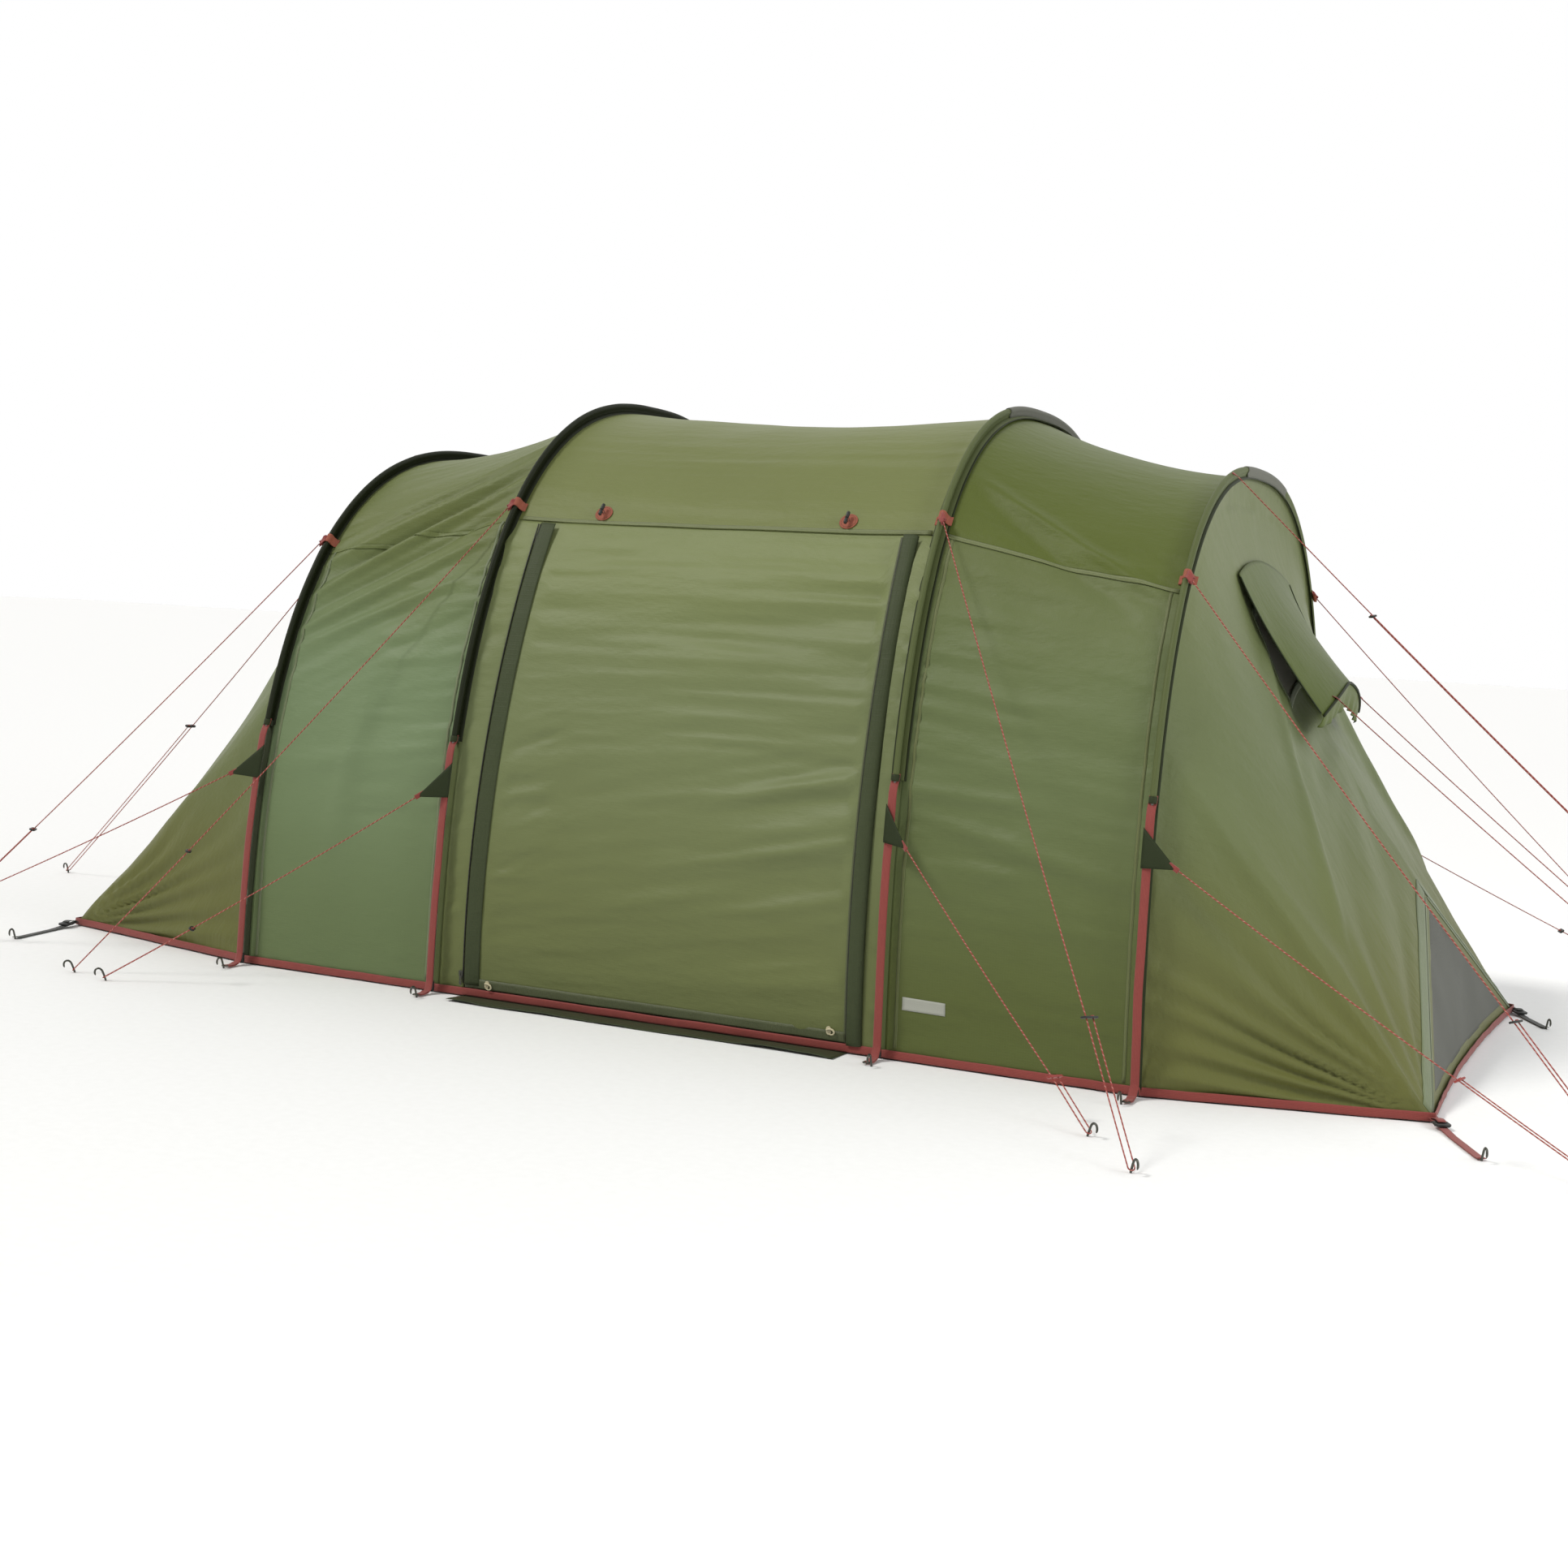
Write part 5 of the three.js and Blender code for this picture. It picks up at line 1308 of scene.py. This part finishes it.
def upper_tab(name, arch, flip_y, start, way):
    """A red band round the sleeve, with the loop that an upper line is tied to."""
    half_band = 0.0135 / metres_per_turn(arch, UPPER_T)
    outline = round_outline([(0.0225, -0.0185), (0.0150, -0.0170), (0.0105, -0.0080)], 0.0094, 0, 11)
    band = arch_section(arch, UPPER_T + linspace(-half_band, half_band, 7), outline) * flip_y
    sheet_mesh(f"tab_band_{name}", band, "patch_red", 0.0014, flip=-flip_y[1])
    beside = arch_point(arch, array([UPPER_T - 0.01, UPPER_T + 0.01])) * flip_y
    n = arch_normal(arch, array(UPPER_T)) * flip_y
    root = arch_point(arch, array(UPPER_T), -0.0085) * flip_y
    tip = start + way * 0.027
    middle = root * 0.6 + tip * 0.4
    loop = spline([root - n * 0.002, middle + n * 0.003, tip + way * 0.003, middle - n * 0.004,
                   root - n * 0.006], 26)
    ribbon(f"tab_loop_{name}", loop, beside[1] - beside[0], 0.0185, 0.0013, columns=6)


def lower_patch(name, arch, flip_y, start, way):
    """A dark triangle of cloth from the pole to a lower line, with webbing at its tip."""
    lean = 1 if way[0] > 0 else -1
    apex = start + way * 0.090
    turns = array([angle_at(arch, z) for z in linspace(0.524, 0.616, 9)])
    base = arch_point(arch, turns, -0.0112, -lean * 0.0125) * flip_y
    shares = linspace(0, 0.90, 10)
    belly = 0.002 * np.sin(math.pi * shares)[:, None] * np.cos(linspace(-1.3, 1.3, 9))[None]
    grid = base[None] + (apex - base)[None] * shares[:, None, None]
    sheet_mesh(f"guy_patch_{name}", grid + np.cross(way, (0, 0, 1)) * (belly * lean)[..., None], "patch_dark",
               0.0015)
    tip = spline([apex - way * 0.024, apex - way * 0.0072, apex + way * 0.004], 8)
    ribbon(f"guy_patch_tip_{name}", tip, (0, 0, 1), 0.0125, 0.0024)


def top_tab(name, arch, lean, start, way):
    """A webbing tab under the top of an end arch."""
    inner = arch_point(arch, TOP_T + linspace(-0.006, 0.006, 4), -0.0075, lean * 0.004)
    strip = inner + (start + way * 0.014 - inner) * linspace(0, 1, 5)[:, None, None]
    sheet_mesh(f"top_tab_{name}", strip, "webbing", 0.0014)


def guy_line(name, peg_x, peg_y, tension_at):
    """A line from its tab down to its peg, round it and back up to the tensioner, where it is knotted."""
    words = name.split("_")
    kind = words[2] if len(words) > 2 else words[0]
    peg, flip_y = array([peg_x, peg_y, 0.0115]), mirror_y(1 if words[0] == "far" else -1)
    if kind == "hood":
        start = hood_point(-0.6 if words[1] == "near" else 0.6, 1.0) + (0.005, 0, 0)
    else:
        number = int(words[1])
        arch, lean = ARCHES[number - 1], -1 if number == 1 else 1
        start = {"upper": arch_point(arch, UPPER_T, -0.012),
                 "lower": arch_point(arch, angle_at(arch, LOWER_Z), -0.012),
                 "top": arch_point(arch, TOP_T, -POLE_RADIUS, lean * 0.011)}[kind] * flip_y
    way = unit(peg - start)
    exit_point = start + way * LEADS[kind]
    span = peg - exit_point
    droop = 4 * 0.008 * float(np.linalg.norm(span))
    side = unit(np.cross(way, (0, 0, 1)))

    def line(s, offset=0.0):
        """Points beside the sagging line, at shares s of its length."""
        s = np.atleast_1d(s)
        down = (-droop * s * (1 - s))[:, None] * (0, 0, 1)
        return exit_point + span * s[:, None] + side * (offset + 0 * s)[:, None] + down

    s = np.unique(concatenate([linspace(0, 1, 30), linspace(tension_at - 0.02, tension_at + 0.02, 5)]))
    out_leg = line(s, LOOP_RADIUS * ramp(s, tension_at, 1))
    back = s[s >= tension_at][::-1]
    spread = ramp(back, tension_at, 1)
    back_leg = line(back, -RETURN_GAP * (1 - spread) - LOOP_RADIUS * spread)
    around = linspace(0, math.pi, 11)[1:-1, None]
    onward = unit(out_leg[-1] - out_leg[-2])
    bend = line(1.0) + LOOP_RADIUS * (side * np.cos(around) + onward * np.sin(around))
    path = concatenate([out_leg, bend, back_leg])
    body = ("hood", "root", tuple(exit_point), tuple(exit_point + span * 0.45)) if kind == "hood" else "root"
    cord = tube_mesh(f"cord_{name}", path, CORD_WIDTH / 2, "cord", 8, body=body,
                     stands_for=f"guy_{name}" if f"guy_{name}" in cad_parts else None)

    along = unit(line(tension_at + 0.01) - line(tension_at - 0.01))[0]
    across = np.cross(side, along) * math.cos(0.45) + along * math.sin(0.45)
    tensioner = plate_mesh(f"tensioner_{name}", rounded_bar(0.037, 0.0125), TENSIONER_HOLES, 0.0046, 0.0014,
                           basis(across, side, line(tension_at, -RETURN_GAP / 2)[0]),
                           "plastic_red" if name in RED_TENSIONERS else "plastic")
    a = linspace(0, TURN, 31)
    knot = stack([np.sin(a) + 2 * np.sin(2 * a), np.cos(a) - 2 * np.cos(2 * a), -np.sin(3 * a)], -1)
    knot = back_leg[-1] - along * 0.0030 + (knot * 0.00105) @ stack([across, side, along])
    knot = tube_mesh(f"knot_{name}", knot, 0.0013, "cord", 6)
    round(float(walked(path)[-1]), 3)
    peg_mesh(f"guy_peg_{name}", peg_x - 0.001 * way[0], peg_y - 0.001 * way[1], way)
    if kind == "upper":
        upper_tab(name, arch, flip_y, start, way)
    elif kind == "lower":
        lower_patch(name, arch, flip_y, start, way)
    elif kind == "top":
        top_tab(number, arch, lean, start, way)


for guy in GUYS:
    guy_line(*guy)

# ---------- end vent, hood and its valance ----------
t, share = HALF + linspace(-1, 1, 40) * (VENT_HALF + 0.012), linspace(VENT_TOP - 0.012, VENT_BOTTOM + 0.012,
                                                                      30)
net, out = end_at(1, t[:, None], share[None])
soft_sheet("net_vent", net - out * 0.0016, "net_pale", thick=0.0006, stands_for="vent_mesh")
for name, across, share in (
    ("top", linspace(-1.06, 1.06, 30), linspace(VENT_TOP - 0.014, VENT_TOP + 0.004, 4)),
    ("bottom", linspace(-1.06, 1.06, 30), linspace(VENT_BOTTOM - 0.004, VENT_BOTTOM + 0.014, 4)),
    ("near", linspace(-1.07, -0.97, 4), linspace(VENT_TOP - 0.01, VENT_BOTTOM + 0.01, 24)),
    ("far", linspace(0.97, 1.07, 4), linspace(VENT_TOP - 0.01, VENT_BOTTOM + 0.01, 24)),
):
    trim, out = end_at(1, (HALF + across * VENT_HALF)[:, None], share[None])
    sheet_mesh(f"vent_trim_{name}", trim + out * 0.0014, "seam_left", 0.0009)

across, along = linspace(-1, 1, 50)[:, None], linspace(0, 1, 34)[None]
lift = 0.0035 * smooth_noise(across * 3, along * 3, 181) * np.sin(math.pi * along)
soft_sheet("cloth_vent_hood", hood_point(across, along) + HOOD_WAY * lift[..., None], "hood",
           rests=["cloth_right_end"],
           thick=0.0009, body="hood", stands_for="vent_hood")
tube_mesh("hood_rim", hood_point(linspace(-1, 1, 60), 1.0) + (0.002, 0, 0.0005), 0.0034, "binding", 10,
          side_axis=(0, 0, 1), body="hood")
for sign, name in BOTH_SIDES:
    tube_mesh(f"hood_binding_{name}", hood_point(sign, linspace(0.02, 0.98, 30)), 0.0022, "binding", 8,
              side_axis=(0, 0, 1), body="hood")
    middle = hood_point(0.6 * sign, 1.0)
    tab = spline([middle + p for p in ((-0.020, 0, 0.010), (-0.004, 0, 0.006), (0.006, 0, 0.0005),
                                       (0.009, 0, -0.004))], 12)
    ribbon(f"hood_tab_{name}", tab, (0, 1, 0), 0.016, 0.0013, body="hood")
drop, across = linspace(0, 1, 9)[:, None], linspace(-0.98, 0.98, 70)[None]
depth = (0.020 + 0.044 * (1 - across**2) ** 0.5) * drop
flutter = 0.0042 * np.sin(across * 26) * drop + 0.004 * smooth_noise(across * 5, drop * 2, 182)
valance = hood_point(across, 1.0) + array([0.010, 0, -1.0]) * depth[..., None]
valance = valance + array([1.0, 0, 0.2]) * (flutter * drop - 0.010 * drop**1.5)[..., None]
soft_sheet("hood_valance", valance, "hood", held="hung", rests=["cloth_vent_hood"], thick=0.0009, flip=-1,
           body="hood")

# ---------- blank label low on the right bay ----------
t = linspace(angle_at(ARCHES[1], 0.126), angle_at(ARCHES[1], 0.158), 7)[:, None]
label, out = bay_at(2, t, (linspace(0.048, 0.158, 14) / END_SPAN)[None])
sheet_mesh("blank_label", label + out * 0.0014, "label", 0.0009)

# ---------- sleeping cabins ----------
CABIN_GAP = 0.070
CABIN_WIDTH = HALF_WIDTH - INSET - CABIN_GAP
# The cabin's low end, in shares: how far into the tent's end, width, height, and the power of its curve.
CABIN_FOOT = ((0.095, 0.954, 0.553, 1.8), (0.317, 0.857, 0.387, 1.5), (0.587, 0.772, 0.193, 1.3))
CABIN_BASE, DOOR_HALF, DOOR_TALL, DOOR_SILL, DOOR_SHIFT, FABRIC = 0.0025, 0.270, 1.020, 0.060, 0.120, 0.0015


def cabin_stations(side):
    """Sections of a cabin from its door outwards: x, half width, height and the power of its curve."""
    inner, outer = (ARCHES[1], ARCHES[0]) if side < 0 else (ARCHES[2], ARCHES[3])
    end_length = CORNER_X - side * outer[0]
    stations = [(inner[0] + side * 0.030, CABIN_WIDTH, inner[1] - INSET - SAG - CABIN_GAP, 2.5),
                (outer[0] - side * 0.130, CABIN_WIDTH, outer[1] - INSET - CABIN_GAP - 0.030, 2.4)]
    for share, wide, high, power in CABIN_FOOT:
        stations.append((outer[0] + side * share * end_length, wide * CABIN_WIDTH, high * outer[1], power))
    return array(stations)


def cabin_ring(station, turns):
    x, width, height, power = station
    reach = np.abs(np.cos(turns)) ** (2 / power)
    rise = np.maximum(np.sin(turns), 0) ** (2 / power)
    return stack([0 * turns + x, -np.sign(np.cos(turns)) * width * reach,
                  CABIN_BASE + (height - CABIN_BASE) * rise], -1)


def door_outline(count):
    """Half widths and heights of a cabin door, from its sill up."""
    z = linspace(0, DOOR_TALL, count)
    corner = DOOR_HALF * 0.6
    s = 1 - np.sqrt(clip(1 - (z - (DOOR_TALL - corner)) / corner, 0, 1))
    return z, DOOR_HALF - corner * np.where(z > DOOR_TALL - corner, s, 0) ** 2


def cabin_wall(name, side, station):
    """The inner wall, from the door opening out to the cabin's edge."""
    gap = 0.003
    z, wide = door_outline(40)
    wide = wide + gap
    rise = stack([-wide, DOOR_SILL + z * (DOOR_TALL + gap) / DOOR_TALL], -1)
    top = stack([linspace(-wide[-1], wide[-1], 12)[1:-1], np.full(10, DOOR_SILL + DOOR_TALL + gap)], -1)
    low = stack([linspace(wide[0], -wide[0], 20)[1:-1], np.full(18, DOOR_SILL - gap)], -1)
    hole = concatenate([rise, top, rise[::-1] * (-1, 1), low]) + (side * DOOR_SHIFT, 0)
    edge = cabin_ring(station, linspace(0, math.pi, 400))[:, 1:]
    ground = stack([linspace(CABIN_WIDTH, -CABIN_WIDTH, 200), np.full(200, CABIN_BASE)], -1)
    edge = concatenate([edge, ground[1:-1]])
    middle = (side * DOOR_SHIFT, 0.55)
    wanted, around = (np.arctan2(*(p - middle).T[::-1]) for p in (hole, edge))
    order = np.argsort(around)
    rim = stack([np.interp(wanted, around[order], edge[order, c], period=TURN) for c in (0, 1)], -1)
    shares = linspace(0, 1, 22)
    flat = hole[None] + (rim - hole)[None] * shares[:, None, None]
    y, z = flat[..., 0], flat[..., 1]
    ripple = 0.006 * smooth_noise(y / 0.2, z / 0.35, 197 + side) * np.sin(math.pi * shares)[:, None]
    soft_sheet(f"cabin_wall_{name}", stack([station[0] + side * (0.0010 + np.abs(ripple)), y, z], -1),
               "cabin",
               held="hung", rests=[f"cloth_cabin_{name}"], thick=0.0009, flip=-side, wrap=True)


def cabin_door(name, side, x):
    """The door leaf and the zip round it."""
    z, wide = door_outline(56)
    z = (z * 0.998 + 0.001)[:, None]
    across = linspace(-1, 1, 34)[None]
    y = side * DOOR_SHIFT + across * (wide[:, None] - 0.001)
    billow = 0.0022 * smooth_noise(y / 0.16, z / 0.2, 199) * (1 - across**2)
    leaf = stack([x + side * (FABRIC / 2 - 0.0004 - np.abs(billow)), y, DOOR_SILL + z + 0 * y], -1)
    body = f"cabin_door_{name}"
    soft_sheet(f"cloth_{body}", leaf, "cabin", held="hung", rests=[f"cabin_wall_{name}"], flip=-side,
               body=body,
               stands_for=body)
    outline = concatenate([leaf[:, 0], leaf[-1, 1:-1], leaf[::-1, -1], leaf[0, 1:][::-1]])
    tube_mesh(f"cabin_door_zip_{name}", outline - (side * 0.0012, 0, 0), 0.0018, "binding", 6,
              side_axis=SIDEWAYS,
              body=body, slot="cabin_cloth")


for side, name in BOTH_ENDS:
    stations = cabin_stations(side)
    steps = spaced([0, 1, 2, 3, 4], [16, 10, 8, 8])
    sections = stack([np.interp(steps, np.arange(5), stations[:, c]) for c in range(4)], -1)
    turns = linspace(0.0, math.pi, 74)
    shell = stack([cabin_ring(s, turns) for s in sections])
    sag = 0.012 * smooth_noise(shell[..., 0] / 0.22, turns[None] * 5, 191 + side) * np.sin(turns)[None] ** 0.6
    sag = sag * np.where(sag > 0, 1, 0.4) * minimum(1, minimum(steps, 4 - steps) * 3)[:, None]
    shell = shell + unit(shell * (1, 0, 0) + (0, 0, 0.5) - shell) * sag[..., None]
    soft_sheet(f"cloth_cabin_{name}", shell, "cabin", held="hung",
               rests=[f"cloth_sleeve_{2 if side < 0 else 3}"],
               thick=0.0009, flip=side, stands_for=f"cabin_{name}")
    tray = stack([stack([0 * turns + s[0], -np.cos(turns) * (s[1] - 0.001), 0 * turns + 0.0012],
                        -1) for s in sections])
    tray[..., 2] += 0.0035 * np.abs(smooth_noise(tray[..., 0] / 0.13, tray[..., 1] / 0.11, 195))
    sheet_mesh(f"cabin_floor_{name}", tray, "floor_cloth", 0.0007, flip=side)
    kerb = stack([cabin_ring(s - (0, 0.0018, 0, 0), linspace(0.0, 0.075, 7)) for s in sections])
    for sign, where in BOTH_SIDES:
        sheet_mesh(f"cabin_kerb_{name}_{where}", kerb * mirror_y(sign), "floor_cloth", flip=-side * sign)
    cabin_wall(name, side, stations[0])
    arc_line = cabin_ring(stations[-1], linspace(0.02, math.pi - 0.02, 30))
    ground = arc_line * (1, 1, 0) + (0, 0, CABIN_BASE)
    low_end = ground + (arc_line - ground) * linspace(0, 1, 12)[:, None, None]
    sheet_mesh(f"cabin_end_{name}", low_end, "cabin", 0.0009, flip=side)
    cabin_door(name, side, stations[0][0])
